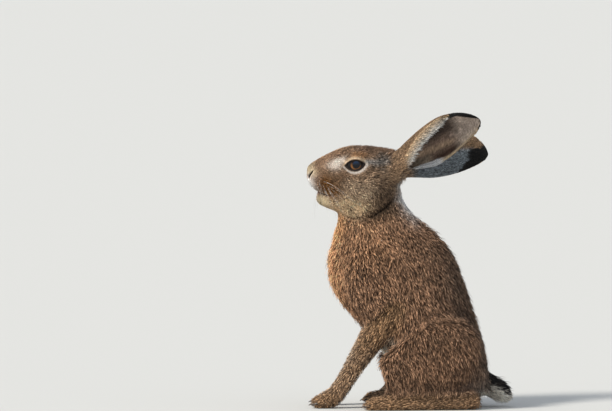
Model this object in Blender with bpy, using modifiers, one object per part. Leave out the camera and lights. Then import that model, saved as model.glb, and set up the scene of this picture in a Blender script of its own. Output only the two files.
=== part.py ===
"""A brown hare sitting on its haunches with its head raised, life size, in metres.

The animal faces -X, its left side is towards -Y and it rests on the floor at Z = 0. The body is
lofted from sections of trunk, skull, jaw and limbs, fused into one form and then parted by thin
cuts into head, neck, torso, tail, legs and feet. Ears and eyes are solids of their own.
"""

import math

import bmesh
import bpy
import numpy as np
from mathutils import Matrix, Vector

# Driving sizes of the animal, in metres.
EYE_RADIUS = 0.0126

# The gap between neighbouring solids, and the fineness of the fused forms.
GAP = 0.0003
BODY_VOXEL = 0.0030
HEAD_VOXEL = 0.0016
BODY_TRIANGLES = 4400
HEAD_TRIANGLES = 3200
RING_POINTS = 28
CUTTER_RINGS = 16

MM = 0.001


def clear_scene():
    for old in list(bpy.data.objects):
        bpy.data.objects.remove(old)


def new_collection(name, hidden=False):
    made = bpy.data.collections.new(name)
    bpy.context.scene.collection.children.link(made)
    made.hide_render = hidden
    return made


clear_scene()
HARE = new_collection("brown_hare")
CUTTERS = new_collection("cutters", hidden=True)


def make_material(name, color, roughness):
    made = bpy.data.materials.new(name)
    made.use_nodes = True
    shader = made.node_tree.nodes["Principled BSDF"]
    shader.inputs["Base Color"].default_value = (*color, 1.0)
    shader.inputs["Roughness"].default_value = roughness
    shader.inputs["Metallic"].default_value = 0.0
    return made


COAT = make_material("coat_brown", (0.30, 0.19, 0.11), 0.85)
PALE_COAT = make_material("coat_grey_brown", (0.36, 0.27, 0.19), 0.85)
EAR_SKIN = make_material("ear_grey", (0.27, 0.20, 0.16), 0.75)
EYE_GLOSS = make_material("eye_dark_amber", (0.05, 0.03, 0.02), 0.08)


# Meshes: everything is a loft through closed rings, or an ellipsoid.


def helper(name, mesh):
    """An object among the cutters, left out of renders."""
    made = bpy.data.objects.new(name, mesh)
    CUTTERS.objects.link(made)
    made.hide_render = True
    made.display_type = "WIRE"
    return made


def mesh_object(name, vertices, faces):
    mesh = bpy.data.meshes.new(name)
    mesh.from_pydata([tuple(v) for v in vertices], [], faces)
    return helper(name, mesh)


def loft(name, rings):
    """A closed surface through rings of equal point count, its two ends closed by a centre point."""
    rings = np.asarray(rings, float)
    count, around = rings.shape[:2]
    vertices = np.concatenate(
        [rings.reshape(-1, 3), [rings[0].mean(axis=0)], [rings[-1].mean(axis=0)]]
    )
    first_pole = count * around
    faces = []
    for ring in range(count - 1):
        for k in range(around):
            after = (k + 1) % around
            low, high = ring * around, (ring + 1) * around
            faces.append((low + k, low + after, high + after, high + k))
    for k in range(around):
        after = (k + 1) % around
        last = (count - 1) * around
        faces.append((first_pole, after, k))
        faces.append((first_pole + 1, last + k, last + after))
    made = mesh_object(name, vertices, faces)
    face_outward(made)
    return made


def face_outward(obj):
    shape = bmesh.new()
    shape.from_mesh(obj.data)
    bmesh.ops.recalc_face_normals(shape, faces=shape.faces)
    if shape.calc_volume(signed=True) < 0:
        bmesh.ops.reverse_faces(shape, faces=shape.faces)
    shape.to_mesh(obj.data)
    shape.free()


def through(rows, count):
    """A smooth curve through rows of numbers (Catmull-Rom, evenly by row), resampled to count rows."""
    rows = np.asarray(rows, float)
    padded = np.concatenate([[2 * rows[0] - rows[1]], rows, [2 * rows[-1] - rows[-2]]])
    place = np.linspace(0, len(rows) - 1 - 1e-9, count)
    i = place.astype(int)
    t = (place - i)[:, None]
    a, b, c, d = padded[i], padded[i + 1], padded[i + 2], padded[i + 3]
    return 0.5 * (
        2 * b
        + (c - a) * t
        + (2 * a - 5 * b + 4 * c - d) * t * t
        + (3 * b - a - 3 * c + d) * t**3
    )


def side_sections(name, rows, y=0.0, fullness=1.0, egg=0.0, count=None):
    """A body part whose side view is known: each row is (x, z) of its lower or front edge, (x, z) of
    its upper or back edge and its half width, in millimetres. Rings are ellipses between the two
    edges. egg moves the widest place towards the first edge; a row may add its own y in millimetres."""
    rows = [list(row) + [0.0] * (6 - len(row)) for row in rows]
    fine = through(rows, count or 4 * len(rows)) * MM
    angle = np.linspace(0, 2 * math.pi, RING_POINTS, endpoint=False)
    along = np.sign(np.cos(angle)) * np.abs(np.cos(angle)) ** fullness
    across = np.sign(np.sin(angle)) * np.abs(np.sin(angle)) ** fullness
    first, second, width, shift = fine[:, 0:2], fine[:, 2:4], fine[:, 4], fine[:, 5]
    middle, half = (first + second) / 2, (second - first) / 2
    rings = np.empty((len(fine), RING_POINTS, 3))
    rings[:, :, 0] = middle[:, :1] + half[:, :1] * along
    rings[:, :, 2] = middle[:, 1:] + half[:, 1:] * along
    rings[:, :, 1] = (
        width[:, None] * across * (1 - egg * along) + shift[:, None] + y
    )
    return loft(name, rings)


def limb(name, rows, count=None):
    """A round limb along a path: each row is x, y, z, radius along its path's side and radius in Y, in
    millimetres. Rings stand square to the path's direction in the side view."""
    fine = through(rows, count or 4 * len(rows)) * MM
    path = fine[:, :3]
    ahead = np.gradient(path, axis=0)
    ahead /= np.linalg.norm(ahead, axis=1)[:, None]
    side = np.array([0.0, 1.0, 0.0])
    up = np.cross(ahead, side)
    up /= np.linalg.norm(up, axis=1)[:, None]
    side = np.cross(up, ahead)
    angle = np.linspace(0, 2 * math.pi, RING_POINTS, endpoint=False)
    rings = (
        path[:, None]
        + up[:, None] * (fine[:, 3, None] * np.cos(angle))[..., None]
        + side[:, None] * (fine[:, 4, None] * np.sin(angle))[..., None]
    )
    return loft(name, rings)


def ellipsoid(name, centre, radii, turn=(0.0, 0.0, 0.0), segments=24, rings=14):
    """An ellipsoid in millimetres; turn is its rotation about X, Y and Z in degrees."""
    shape = bmesh.new()
    bmesh.ops.create_uvsphere(shape, u_segments=segments, v_segments=rings, radius=1.0)
    mesh = bpy.data.meshes.new(name)
    shape.to_mesh(mesh)
    shape.free()
    rotation = Matrix.Identity(4)
    for axis, angle in zip("XYZ", turn):
        rotation = Matrix.Rotation(math.radians(angle), 4, axis) @ rotation
    scale = Matrix.Diagonal((*[r * MM for r in radii], 1.0))
    mesh.transform(Matrix.Translation(Vector(centre) * MM) @ rotation @ scale)
    return helper(name, mesh)


def mirrored(obj, name):
    """A copy of a helper on the other side of the body's middle plane."""
    mesh = obj.data.copy()
    mesh.transform(Matrix.Diagonal((1, -1, 1, 1)))
    mesh.flip_normals()
    return helper(name, mesh)


def apply_modifiers(obj):
    bpy.context.view_layer.update()
    graph = bpy.context.evaluated_depsgraph_get()
    mesh = bpy.data.meshes.new_from_object(obj.evaluated_get(graph))
    obj.modifiers.clear()
    obj.data = mesh
    return obj


def joined(name, pieces):
    """One object holding the faces of all the pieces, which are removed."""
    shape = bmesh.new()
    for piece in pieces:
        shape.from_mesh(piece.data)
        bpy.data.objects.remove(piece)
    mesh = bpy.data.meshes.new(name)
    shape.to_mesh(mesh)
    shape.free()
    return helper(name, mesh)


def fused(name, pieces, voxel, smooth_steps, triangles):
    """One closed skin round overlapping closed pieces, smoothed where they meet and then thinned."""
    body = joined(name, pieces)
    remesh = body.modifiers.new("remesh", "REMESH")
    remesh.mode = "VOXEL"
    remesh.voxel_size = voxel
    smooth = body.modifiers.new("smooth", "SMOOTH")
    smooth.factor = 0.5
    smooth.iterations = smooth_steps
    apply_modifiers(body)
    faces = 2 * len(body.data.polygons)
    thin = body.modifiers.new("thin", "DECIMATE")
    thin.ratio = min(1.0, triangles / faces)
    thin.use_symmetry = False
    return apply_modifiers(body)


def largest_surface(obj):
    """Keeps only the largest closed surface of an object."""
    shape = bmesh.new()
    shape.from_mesh(obj.data)
    bmesh.ops.remove_doubles(shape, verts=shape.verts, dist=1e-6)
    seen, groups = set(), []
    for start in shape.verts:
        if start in seen:
            continue
        group, queue = [], [start]
        seen.add(start)
        while queue:
            vertex = queue.pop()
            group.append(vertex)
            for edge in vertex.link_edges:
                other = edge.other_vert(vertex)
                if other not in seen:
                    seen.add(other)
                    queue.append(other)
        groups.append(group)
    groups.sort(key=len)
    for group in groups[:-1]:
        bmesh.ops.delete(shape, geom=group, context="VERTS")
    bmesh.ops.triangulate(shape, faces=shape.faces)
    shape.to_mesh(obj.data)
    shape.free()
    return obj


def boolean(obj, cutter, operation, solver="EXACT"):
    step = obj.modifiers.new(operation.lower(), "BOOLEAN")
    step.operation = operation
    step.solver = solver
    step.object = cutter
    return apply_modifiers(obj)


def cut(obj, *cutters):
    for cutter in cutters:
        boolean(obj, cutter, "DIFFERENCE")
    return obj


def outline_prism(name, outline, low_y, high_y, grow=0.0):
    """A prism through the body: outline is its side view in millimetres, grown outwards by grow."""
    points = np.asarray(outline, float) * MM
    after = np.roll(points, -1, axis=0)
    area = np.sum(points[:, 0] * after[:, 1] - after[:, 0] * points[:, 1])
    if area < 0:
        points = points[::-1]
    before, after = np.roll(points, 1, axis=0), np.roll(points, -1, axis=0)
    first = (points - before) / np.linalg.norm(points - before, axis=1)[:, None]
    second = (after - points) / np.linalg.norm(after - points, axis=1)[:, None]
    first_out = np.stack([first[:, 1], -first[:, 0]], axis=1)
    second_out = np.stack([second[:, 1], -second[:, 0]], axis=1)
    corner = first_out + second_out
    corner /= (1 + np.sum(first_out * second_out, axis=1))[:, None]
    grown = points + corner * grow
    made = mesh_object(name, [], [])
    shape = bmesh.new()
    side = shape.faces.new([shape.verts.new((x, low_y - grow, z)) for x, z in grown])
    swept = bmesh.ops.extrude_face_region(shape, geom=[side])["geom"]
    moved = [part for part in swept if isinstance(part, bmesh.types.BMVert)]
    bmesh.ops.translate(shape, verts=moved, vec=(0, high_y - low_y + 2 * grow, 0))
    shape.to_mesh(made.data)
    shape.free()
    face_outward(made)
    return made


def shown(obj):
    """Makes a helper a node of the hare."""
    CUTTERS.objects.unlink(obj)
    HARE.objects.link(obj)
    obj.hide_render = False
    obj.display_type = "TEXTURED"
    return obj


def part_off(body, name, inside, outside, material):
    """Takes the stretch of the body inside one cutter as a node of its own. The second cutter, a gap
    larger all round, clears that stretch from what is left. The exact solver leaves open edges where
    these many seams meet on one body, so the parting uses the manifold solver."""
    taken = helper(name, body.data.copy())
    boolean(taken, inside, "INTERSECT", "MANIFOLD")
    boolean(body, outside, "DIFFERENCE", "MANIFOLD")
    return finish(shown(taken), material)


def part_by_outline(body, name, outline, low_y=-0.2, high_y=0.2, material=COAT):
    """Parts off all that lies inside a side-view outline and between two heights in Y."""
    inside = outline_prism(name + "_inside", outline, low_y, high_y)
    outside = outline_prism(name + "_outside", outline, low_y, high_y, GAP)
    return part_off(body, name, inside, outside, material)


def part_by_limb(body, name, rows, material=COAT):
    """Parts off all that lies inside a limb-shaped cutter."""
    inside = limb(name + "_inside", rows, CUTTER_RINGS)
    gap = GAP / MM
    start = np.array(rows[0][:3]) - np.array(rows[1][:3])
    start = np.array(rows[0][:3]) + start / np.linalg.norm(start) * gap
    wider = [(*row[:3], row[3] + gap, row[4] + gap) for row in rows]
    wider[0] = (*start, *wider[0][3:])
    outside = limb(name + "_outside", wider, CUTTER_RINGS)
    return part_off(body, name, inside, outside, material)


def finish(obj, material):
    largest_surface(obj)
    obj.data.materials.clear()
    obj.data.materials.append(material)
    obj.data.shade_smooth()
    obj.data.set_sharp_from_angle(angle=math.radians(40))
    return obj


# The trunk. Rows are front edge x, z, back edge x, z and half width, from the skull to the rump.
TRUNK = [
    (-62, 252, -12, 262, 15),
    (-79.5, 228, -8, 243, 20.5),
    (-84.5, 209, -1, 228, 25),
    (-89, 190, 14, 214, 32),
    (-93.5, 170, 33, 197, 40),
    (-92, 149, 49, 176, 46),
    (-83, 127, 60, 151, 50),
    (-62, 101, 69, 124, 53),
    (-40, 76, 78, 96, 56),
    (-18, 52, 86, 67, 57),
    (8, 33, 90, 41, 53),
    (36, 22, 87, 22, 42),
    (62, 15, 79, 12, 22),
]

# The skull and upper jaw. Rows are lower edge x, z, upper edge x, z and half width, nose to nape.
SKULL = [
    (-117.5, 262, -117.8, 272, 5.5),
    (-115.5, 256, -116.5, 277.5, 9.5),
    (-111, 252, -111, 281.5, 13),
    (-103, 248.5, -103, 286.5, 16),
    (-92.5, 242.5, -92.5, 292, 19),
    (-80, 236, -80, 297.5, 22.5),
    (-66, 231, -66, 300.5, 25.5),
    (-52, 230, -52, 300.5, 27.0),
    (-38, 235, -38, 299, 26.5),
    (-25, 245, -24, 296.5, 23.5),
    (-14, 256, -13, 293, 18),
    (-6, 264, -6, 286, 10),
]

# The lower jaw and cheek, chin to jaw angle.
JAW = [
    (-107, 236.5, -107, 243, 5),
    (-104.5, 234, -105, 246, 8.5),
    (-98, 230.5, -98, 248, 11.5),
    (-86, 226, -86, 249, 16),
    (-72, 222, -72, 250, 20.5),
    (-59, 219.5, -59, 252, 23.5),
    (-48, 221, -48, 254, 24),
    (-37, 228, -37, 256, 21),
    (-27, 238, -27, 258, 14),
]

# Upper arm and foreleg of the left side: x, y, z, radius in the side view and radius across.
SHOULDER = [
    (-30, -28, 188, 16, 10),
    (-44, -35, 166, 27, 14),
    (-45, -39, 142, 29, 15),
    (-34, -41, 122, 24, 14),
    (-22, -41, 108, 15, 12),
]
FORELEG = [
    (-13, -41, 122, 9, 9),
    (-20, -41, 113, 16, 13),
    (-34, -39, 93, 16.5, 13.5),
    (-49, -35, 70, 13.5, 12),
    (-64, -30, 46, 11, 10.5),
    (-76, -27, 26, 10, 10),
    (-86, -26, 12, 10, 11.5),
    (-96, -26, 7.5, 9.5, 12.5),
    (-105, -26, 5.5, 7.5, 10.5),
]

# Thigh, shank and hind foot of the left side.
THIGH = [
    (64, -33, 94, 16, 11),
    (54, -47, 82, 34, 17),
    (38, -54, 67, 42, 20),
    (14, -58, 55, 37, 19),
    (-11, -59, 47, 28, 17),
    (-30, -57, 41, 17, 14),
]
SHANK = [
    (-22, -57, 36, 19, 14.5),
    (8, -56, 25, 17, 13.5),
    (40, -52, 18, 15, 12.5),
    (66, -48, 13, 12, 11.5),
    (78, -47, 10, 10, 9.5),
]
HIND_FOOT = [
    (82, -47, 9, 9.5, 9),
    (68, -48, 9, 11, 12),
    (40, -50, 8, 10.5, 13),
    (8, -53, 7.5, 9.5, 14),
    (-20, -56, 7, 9.0, 15),
    (-38, -57, 6.5, 8.5, 15),
    (-48, -57, 5, 7, 12),
]

# Toes: length, radius, and their spread across each foot, in millimetres.
TOES_ON_A_FOOT = 4
FORE_TOE = (10.0, 4.4)
HIND_TOE = (13.0, 5.0)

TAIL = [
    (72, 0, 36, 11, 12),
    (84, 0, 30, 13, 14),
    (95, 0, 23, 13.5, 15),
    (105, 0, 17, 12, 13.5),
    (113, 0, 13, 9, 10),
    (118.5, 0, 11.5, 4.5, 5),
]

# The floor cut gives every foot a flat at one level.
FLOOR_CUT = [(-160, -40), (180, -40), (180, 0), (-160, 0)]


def toes(side_name, tip_x, y, z, size, spread):
    """Toes in a row across the front of a foot, the middle ones ahead of the outer ones."""
    length, radius = size
    made = []
    for k in range(TOES_ON_A_FOOT):
        place = k / (TOES_ON_A_FOOT - 1) * 2 - 1
        back = 3.5 * place * place
        centre = (tip_x + length * 0.7 + back, y + place * spread, z)
        name = f"{side_name}_toe_{k}"
        made.append(ellipsoid(name, centre, (length, radius, radius), (0, -6, -9 * place)))
    return made


def legs_of_left_side():
    made = [
        limb("shoulder_left", SHOULDER),
        limb("foreleg_left", FORELEG),
        limb("thigh_left", THIGH),
        limb("shank_left", SHANK),
        limb("hind_foot_left", HIND_FOOT),
    ]
    made += toes("fore", -113, -26, 6.0, FORE_TOE, 8.0)
    made += toes("hind", -52, -57, 6.0, HIND_TOE, 10.0)
    return made


def build_body():
    """Trunk, limbs and tail as one form, open to be parted."""
    left = legs_of_left_side()
    right = [mirrored(piece, piece.name.replace("left", "right")) for piece in left]
    pieces = [side_sections("trunk", TRUNK, egg=0.12), limb("tail_core", TAIL)]
    body = fused("body", pieces + left + right, BODY_VOXEL, 10, BODY_TRIANGLES)
    cut(body, outline_prism("floor", FLOOR_CUT, -0.3, 0.3))
    return body


# The head.
EYE_CENTRE = (-63.0, 14.0, 281.0)
EYE_TILT = 4.0
LID_THICKNESS = 2.0
LID_OPENING = (21.5, 12.6)
NOSTRIL = ((-114.0, 8.6, 268.0), (4.4, 3.4, 1.7), (0, 50, 0))
MOUTH_LINE = [
    (-125, 250.8),
    (-125, 246.0),
    (-106, 246.4),
    (-94, 244.6),
    (-87, 243.4),
    (-94, 246.4),
    (-106, 249.3),
]
LIP_CLEFT = [(-125, 246), (-125, 267), (-117.2, 267), (-114.4, 258), (-112, 246)]


def almond_prism(name, centre, size, tilt, low_y, high_y):
    """The opening between the lids: two arcs that meet in corners, in the side view."""
    width, height = size
    steps = np.linspace(-1, 1, 13)
    upper = [(width / 2 * s, height / 2 * (1 - s * s) ** 0.75) for s in steps]
    lower = [(width / 2 * s, -height / 2 * (1 - s * s) ** 0.75) for s in steps[1:-1][::-1]]
    turn = math.radians(tilt)
    points = []
    for x, z in upper + lower:
        points.append(
            (
                centre[0] + x * math.cos(turn) - z * math.sin(turn),
                centre[2] + x * math.sin(turn) + z * math.cos(turn),
            )
        )
    return outline_prism(name, points, low_y, high_y)


def eye_form(name, side, extra):
    x, y, z = EYE_CENTRE
    radius = EYE_RADIUS / MM + extra
    return ellipsoid(name, (x, side * y, z), (radius,) * 3, (90, 0, 0), 24, 14)


# Ears: a leaf whose edges curl towards each other. Rows run from root to tip: share of the length,
# width along the skin from the middle to the front edge and to the back edge in millimetres, and how
# far the leaf curls round to each of them, in degrees.
EAR_ROWS = [
    (0.00, 33.0, 28.0, 150, 148),
    (0.10, 35.0, 26.0, 134, 128),
    (0.22, 37.5, 26.5, 110, 100),
    (0.36, 38.5, 28.5, 90, 82),
    (0.52, 37.3, 26.2, 74, 70),
    (0.66, 34.5, 21.6, 64, 60),
    (0.79, 27.5, 16.5, 56, 52),
    (0.89, 18.7, 11.6, 50, 45),
    (0.96, 9.8, 6.8, 44, 40),
    (1.00, 3.2, 3.2, 40, 36),
]
EAR_ROOT_DEPTH = 11.2
EAR_WALL = 2.2
EAR_GAP = 0.8
EAR_STEPS_LONG = 22
EAR_STEPS_ACROSS = 16
EAR_STEM_SUNK = 24.0

# For each ear: root, tip and the way its mouth opens, and how far its back bows out, in millimetres,
# and on which hand its front edge lies, seen along the ear with the mouth up.
EARS = {
    "ear_left": ((-14, -17, 279.5), (79.8, -40, 330.6), (0.10, -0.96, -0.20), 5.0, -1),
    "ear_right": ((-13, 17, 274.5), (90.5, 36, 291.0), (0.02, 0.92, 0.36), 4.0, 1),
}


def ear_frame(name):
    """The ear's root and tip, and its axes: along it, the way it opens, and to its front edge."""
    root, tip, mouth, _, front = EARS[name]
    root, tip, mouth = Vector(root), Vector(tip), Vector(mouth)
    along = (tip - root).normalized()
    mouth = (mouth - along * mouth.dot(along)).normalized()
    return root, tip, along, mouth, along.cross(mouth) * front


def ear_leaf(name):
    """Points of the ear's middle surface: rows from root to tip, columns from the back edge to the
    front edge. Each row is two arcs that meet on the back of the ear, one towards each edge."""
    root, tip, along, mouth, across = (np.array(part) for part in ear_frame(name))
    bow = EARS[name][3]
    rows = through(EAR_ROWS, EAR_STEPS_LONG)
    share = rows[:, 0]
    place = np.linspace(-1, 1, EAR_STEPS_ACROSS)
    width = np.where(place > 0, rows[:, 1:2], rows[:, 2:3])
    curl = np.radians(np.where(place > 0, rows[:, 3:4], rows[:, 4:5]))
    angle = curl * place
    radius = width / curl
    back = -EAR_ROOT_DEPTH * (1 - 0.7 * share) - bow * np.sin(math.pi * share)
    depth = radius * (1 - np.cos(angle)) + back[:, None]
    reach = EAR_GAP + share * (np.linalg.norm(tip - root) - EAR_GAP)
    spot = (
        root
        + along * reach[:, None, None]
        + across * (radius * np.sin(angle))[..., None]
        + mouth * depth[..., None]
    )
    return spot * MM


def ear_shell(name):
    """The ear's leaf as an open surface, given its thickness all round."""
    points = ear_leaf(name)
    rows, columns = points.shape[:2]
    faces = []
    for r in range(rows - 1):
        for c in range(columns - 1):
            a = r * columns + c
            faces.append((a, a + 1, a + 1 + columns, a + columns))
    made = mesh_object(name, points.reshape(-1, 3), faces)
    wall = made.modifiers.new("wall", "SOLIDIFY")
    wall.thickness = EAR_WALL * MM
    wall.offset = 0.0
    apply_modifiers(made)
    face_outward(made)
    return finish(shown(made), EAR_SKIN)


def ear_stem(name):
    """The fleshy stem on the head that an ear stands on, as wide as the rolled root of the ear."""
    root, _, along, mouth, _ = ear_frame(name)
    rows = []
    for distance, radius, y_radius in (
        (-EAR_STEM_SUNK, 12, 10),
        (-14, 16.5, 12),
        (-6, 17, 12.5),
        (2, 16.5, 13),
        (8, 16, 12.5),
    ):
        rows.append((*(root + along * distance), radius, y_radius))
    return limb(name + "_stem", rows)


def beyond_stem(name):
    """Everything past the plane where the ear's stem ends, as a cutter."""
    root, _, along, _, _ = ear_frame(name)
    made = mesh_object(name + "_beyond", [], [])
    shape = bmesh.new()
    bmesh.ops.create_cube(shape, size=1.0)
    shape.to_mesh(made.data)
    shape.free()
    size = 0.06
    turn = along.to_track_quat("Z", "Y").to_matrix().to_4x4()
    place = Matrix.Translation(root * MM) @ turn @ Matrix.Translation((0, 0, size / 2))
    made.data.transform(place @ Matrix.Diagonal((size, size, size, 1)))
    return made


def build_head():
    """Skull, jaw, brow, cheeks, lips and ear stems as one form, with sockets, lids and nostrils."""
    pieces = [
        side_sections("skull", SKULL, fullness=0.92),
        side_sections("jaw", JAW, fullness=0.92),
        side_sections("throat", TRUNK[:4], count=14, egg=0.12),
    ]
    pieces += [ear_stem(name) for name in EARS]
    for side in (-1, 1):
        pieces += [
            ellipsoid("brow", (-60, side * 15.0, 288), (17, 8.0, 6.5), (0, -4, 0)),
            ellipsoid("whisker_pad", (-103, side * 8.0, 257), (13, 9.0, 8.5), (0, 20, 0)),
            ellipsoid("cheek", (-56, side * 17, 248), (22, 9, 20), (0, 20, 0)),
            eye_form("lid", side, LID_THICKNESS),
        ]
    head = fused("head", pieces, HEAD_VOXEL, 8, HEAD_TRIANGLES)
    cut(head, outline_prism("mouth_line", MOUTH_LINE, -0.05, 0.05))
    cut(head, outline_prism("lip_cleft", LIP_CLEFT, -0.0008, 0.0008))
    for name in EARS:
        cut(head, beyond_stem(name))
    for side in (-1, 1):
        inner, outer = sorted((side * 0.0150, side * 0.05))
        opening = almond_prism("lid_opening", EYE_CENTRE, LID_OPENING, EYE_TILT, inner, outer)
        cut(head, opening, eye_form("socket", side, GAP / MM))
        (x, y, z), radii, turn = NOSTRIL
        cut(head, ellipsoid("nostril", (x, side * y, z), radii, turn, 14, 8))
    return head


def build_eye(name, side):
    return finish(shown(eye_form(name, side, 0.0)), EYE_GLOSS)


# Side-view outlines, in millimetres, along which the fused form is parted into named pieces.
HEAD_SEAM = [
    (-140, 214),
    (-100, 215),
    (-72, 215.6),
    (-56, 216.6),
    (-44, 219.6),
    (-34, 225.5),
    (-24, 235),
    (-12, 245),
    (10, 256),
    (24, 264),
]
NECK_SEAM = [(-140, 194), (-100, 196), (-72, 198), (-45, 203), (-15, 213), (16, 228), (40, 246)]
OVER_HEAD = [(40, 400), (-140, 400)]
HEAD_OUTLINE = [*through(HEAD_SEAM, 32), *OVER_HEAD]
NECK_OUTLINE = [*through(NECK_SEAM, 22), *OVER_HEAD]
FORELEG_CUT = [
    (-8, -41, 129, 5, 5),
    (-11, -41, 125, 14, 12),
    (-20, -41, 113, 20, 17.5),
    (-34, -39, 93, 20, 17.5),
    (-49, -35, 70, 17, 16),
    (-64, -30, 46, 15, 14.5),
    (-76, -27, 26, 14.5, 14),
    (-88, -26, 11, 15.5, 15.5),
    (-104, -26, 4, 15.5, 16.5),
    (-124, -26, 2, 14, 15),
]
HIND_FOOT_OUTLINE = [(-60.5, -8), (110, -8), (110, 21.5), (-60.5, 21.5)]
HIND_FOOT_SIDE = (0.0305, 0.1)
THIGH_TOP = [
    (-62, 10),
    (-62, 34),
    (-47, 42),
    (-22, 56),
    (2, 75),
    (26, 92),
    (50, 102),
    (70, 101),
    (86, 90),
    (96, 72),
    (100, 42),
    (100, 10),
]
THIGH_OUTLINE = through(THIGH_TOP, 30)
THIGH_SIDE = (0.038, 0.1)
TAIL_OUTLINE = [(88.5, -8), (160, -8), (160, 60), (88.5, 60)]
TAIL_SIDE = (-0.022, 0.022)


def part_body():
    """The fused form parted from its ends inwards; what is left is the torso."""
    body = build_body()
    head = build_head()
    boolean(head, outline_prism("head_side", HEAD_OUTLINE, -0.2, 0.2), "INTERSECT")
    cut(body, outline_prism("neck_side", HEAD_OUTLINE, -0.2, 0.2, GAP))
    finish(shown(head), PALE_COAT)
    part_by_outline(body, "neck", NECK_OUTLINE, material=PALE_COAT)
    part_by_outline(body, "tail", TAIL_OUTLINE, *TAIL_SIDE)
    for word, side in (("left", -1), ("right", 1)):
        for name, outline, reach in (
            ("hind_foot_", HIND_FOOT_OUTLINE, HIND_FOOT_SIDE),
            ("thigh_", THIGH_OUTLINE, THIGH_SIDE),
        ):
            low, high = sorted((side * reach[0], side * reach[1]))
            part_by_outline(body, name + word, outline, low, high)
        rows = [(x, -side * y, z, r, across) for x, y, z, r, across in FORELEG_CUT]
        part_by_limb(body, "foreleg_" + word, rows)
        build_eye("eye_" + word, side)
        ear_shell("ear_" + word)
    body.name = "torso"
    finish(shown(body), COAT)


part_body()
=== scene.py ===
"""A brown hare that sits on its haunches with its head raised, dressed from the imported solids.

One skin covers head, neck, trunk, legs and tail and lies under a coat of fur tufts; the ears, eyes,
whiskers and claws are pieces of their own. Everything is in metres: the hare faces -X, its
left side is towards -Y, and the floor is at Z = 0.
"""

import math

import bmesh
import bpy
import numpy as np
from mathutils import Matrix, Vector
from mathutils.bvhtree import BVHTree


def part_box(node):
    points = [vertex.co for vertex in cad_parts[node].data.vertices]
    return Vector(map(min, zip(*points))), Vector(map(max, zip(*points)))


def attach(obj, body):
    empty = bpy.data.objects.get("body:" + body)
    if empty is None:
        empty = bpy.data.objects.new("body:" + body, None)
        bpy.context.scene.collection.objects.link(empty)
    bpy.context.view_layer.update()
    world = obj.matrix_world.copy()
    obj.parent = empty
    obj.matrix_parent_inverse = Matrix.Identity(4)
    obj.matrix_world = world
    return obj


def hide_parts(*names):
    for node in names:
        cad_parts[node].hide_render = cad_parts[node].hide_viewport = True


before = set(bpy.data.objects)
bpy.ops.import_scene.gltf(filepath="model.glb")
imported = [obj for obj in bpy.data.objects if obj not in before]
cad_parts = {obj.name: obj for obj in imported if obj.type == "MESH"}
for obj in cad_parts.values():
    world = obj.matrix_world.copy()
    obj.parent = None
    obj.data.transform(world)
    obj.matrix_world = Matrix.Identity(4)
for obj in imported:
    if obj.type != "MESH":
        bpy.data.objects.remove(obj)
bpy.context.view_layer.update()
MM = 0.001
SEED = 417
rng = np.random.default_rng(SEED)


# The skin: the hide of head, neck, trunk, legs and tail in one piece, with no seam.
# The solids of the flesh are swelled until their thin cuts close, fused, smoothed, made finer on
# the face, and drawn in by the depth of the coat that each part carries.
COAT_DEPTH = {
    "head": 1.6,
    "neck": 3.4,
    "torso": 4.2,
    "tail": 4.6,
    "foreleg": 2.2,
    "thigh": 4.0,
    "hind_foot": 1.9,
}
LIMBS = ("foreleg", "thigh", "hind_foot")
FLESH = ["head", "neck", "torso", "tail"] + [limb + side for limb in LIMBS for side in ("_left", "_right")]
SWELL = 0.0005
SKIN_VOXEL = 0.0021
EYE = np.array([-63.0, 14.0, 281.0])
EYE_RADIUS = (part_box("eye_left")[1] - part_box("eye_left")[0]).x / 2 / MM


def by_part(table):
    """The table's value for each node of flesh; a left and a right node share one row."""
    return [table[name.removesuffix("_left").removesuffix("_right")] for name in FLESH]


def smoothstep(low, high, value):
    """0 below low, 1 above high, and a cubic with level ends between them."""
    t = np.clip((value - low) / (high - low), 0.0, 1.0)
    return t * t * (3 - 2 * t)


def unit(vectors):
    return vectors / np.maximum(np.linalg.norm(vectors, axis=-1, keepdims=True), 1e-12)


def read_array(items, field, width, kind):
    out = np.empty(len(items) * width, kind)
    items.foreach_get(field, out)
    return out.reshape(-1, width)


def vertex_array(mesh):
    return read_array(mesh.vertices, "co", 3, np.float32).astype(float)


def normal_array(mesh):
    return read_array(mesh.vertex_normals, "vector", 3, np.float32).astype(float)


def edge_array(mesh):
    return read_array(mesh.edges, "vertices", 2, np.int32)


def triangle_array(mesh):
    mesh.calc_loop_triangles()
    return read_array(mesh.loop_triangles, "vertices", 3, np.int32)


def set_vertices(mesh, points):
    mesh.vertices.foreach_set("co", np.ascontiguousarray(points, np.float32).ravel())
    mesh.update()


def relaxed(values, edges, steps, share=0.5):
    """Each vertex's value moved towards the mean of its neighbours' values, steps times over."""
    count = len(values)
    ends = np.concatenate([edges[:, 0], edges[:, 1]])
    others = np.concatenate([edges[:, 1], edges[:, 0]])
    degree = np.maximum(np.bincount(ends, minlength=count), 1)
    flat = values.reshape(count, -1).copy()
    weight = np.broadcast_to(np.asarray(share, float).reshape(-1, 1), (count, 1))
    for _ in range(steps):
        for column in range(flat.shape[1]):
            total = np.bincount(ends, weights=flat[others, column], minlength=count)
            flat[:, column] += weight[:, 0] * (total / degree - flat[:, column])
    return flat.reshape(values.shape)


def placed(name, mesh):
    made = bpy.data.objects.new(name, mesh)
    bpy.context.scene.collection.objects.link(made)
    return made


def sphere_points(centre, radius, around=32, up=18):
    """Points of a sphere on a grid of longitude and latitude, without its two poles."""
    lat = np.linspace(-math.pi / 2, math.pi / 2, up + 2)[1:-1, None]
    lon = np.linspace(0, 2 * math.pi, around, endpoint=False)[None, :]
    x = np.cos(lat) * np.cos(lon)
    y = np.cos(lat) * np.sin(lon)
    z = np.sin(lat) + 0 * lon
    return np.asarray(centre) + radius * np.stack([x, y, z], axis=-1)


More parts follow.
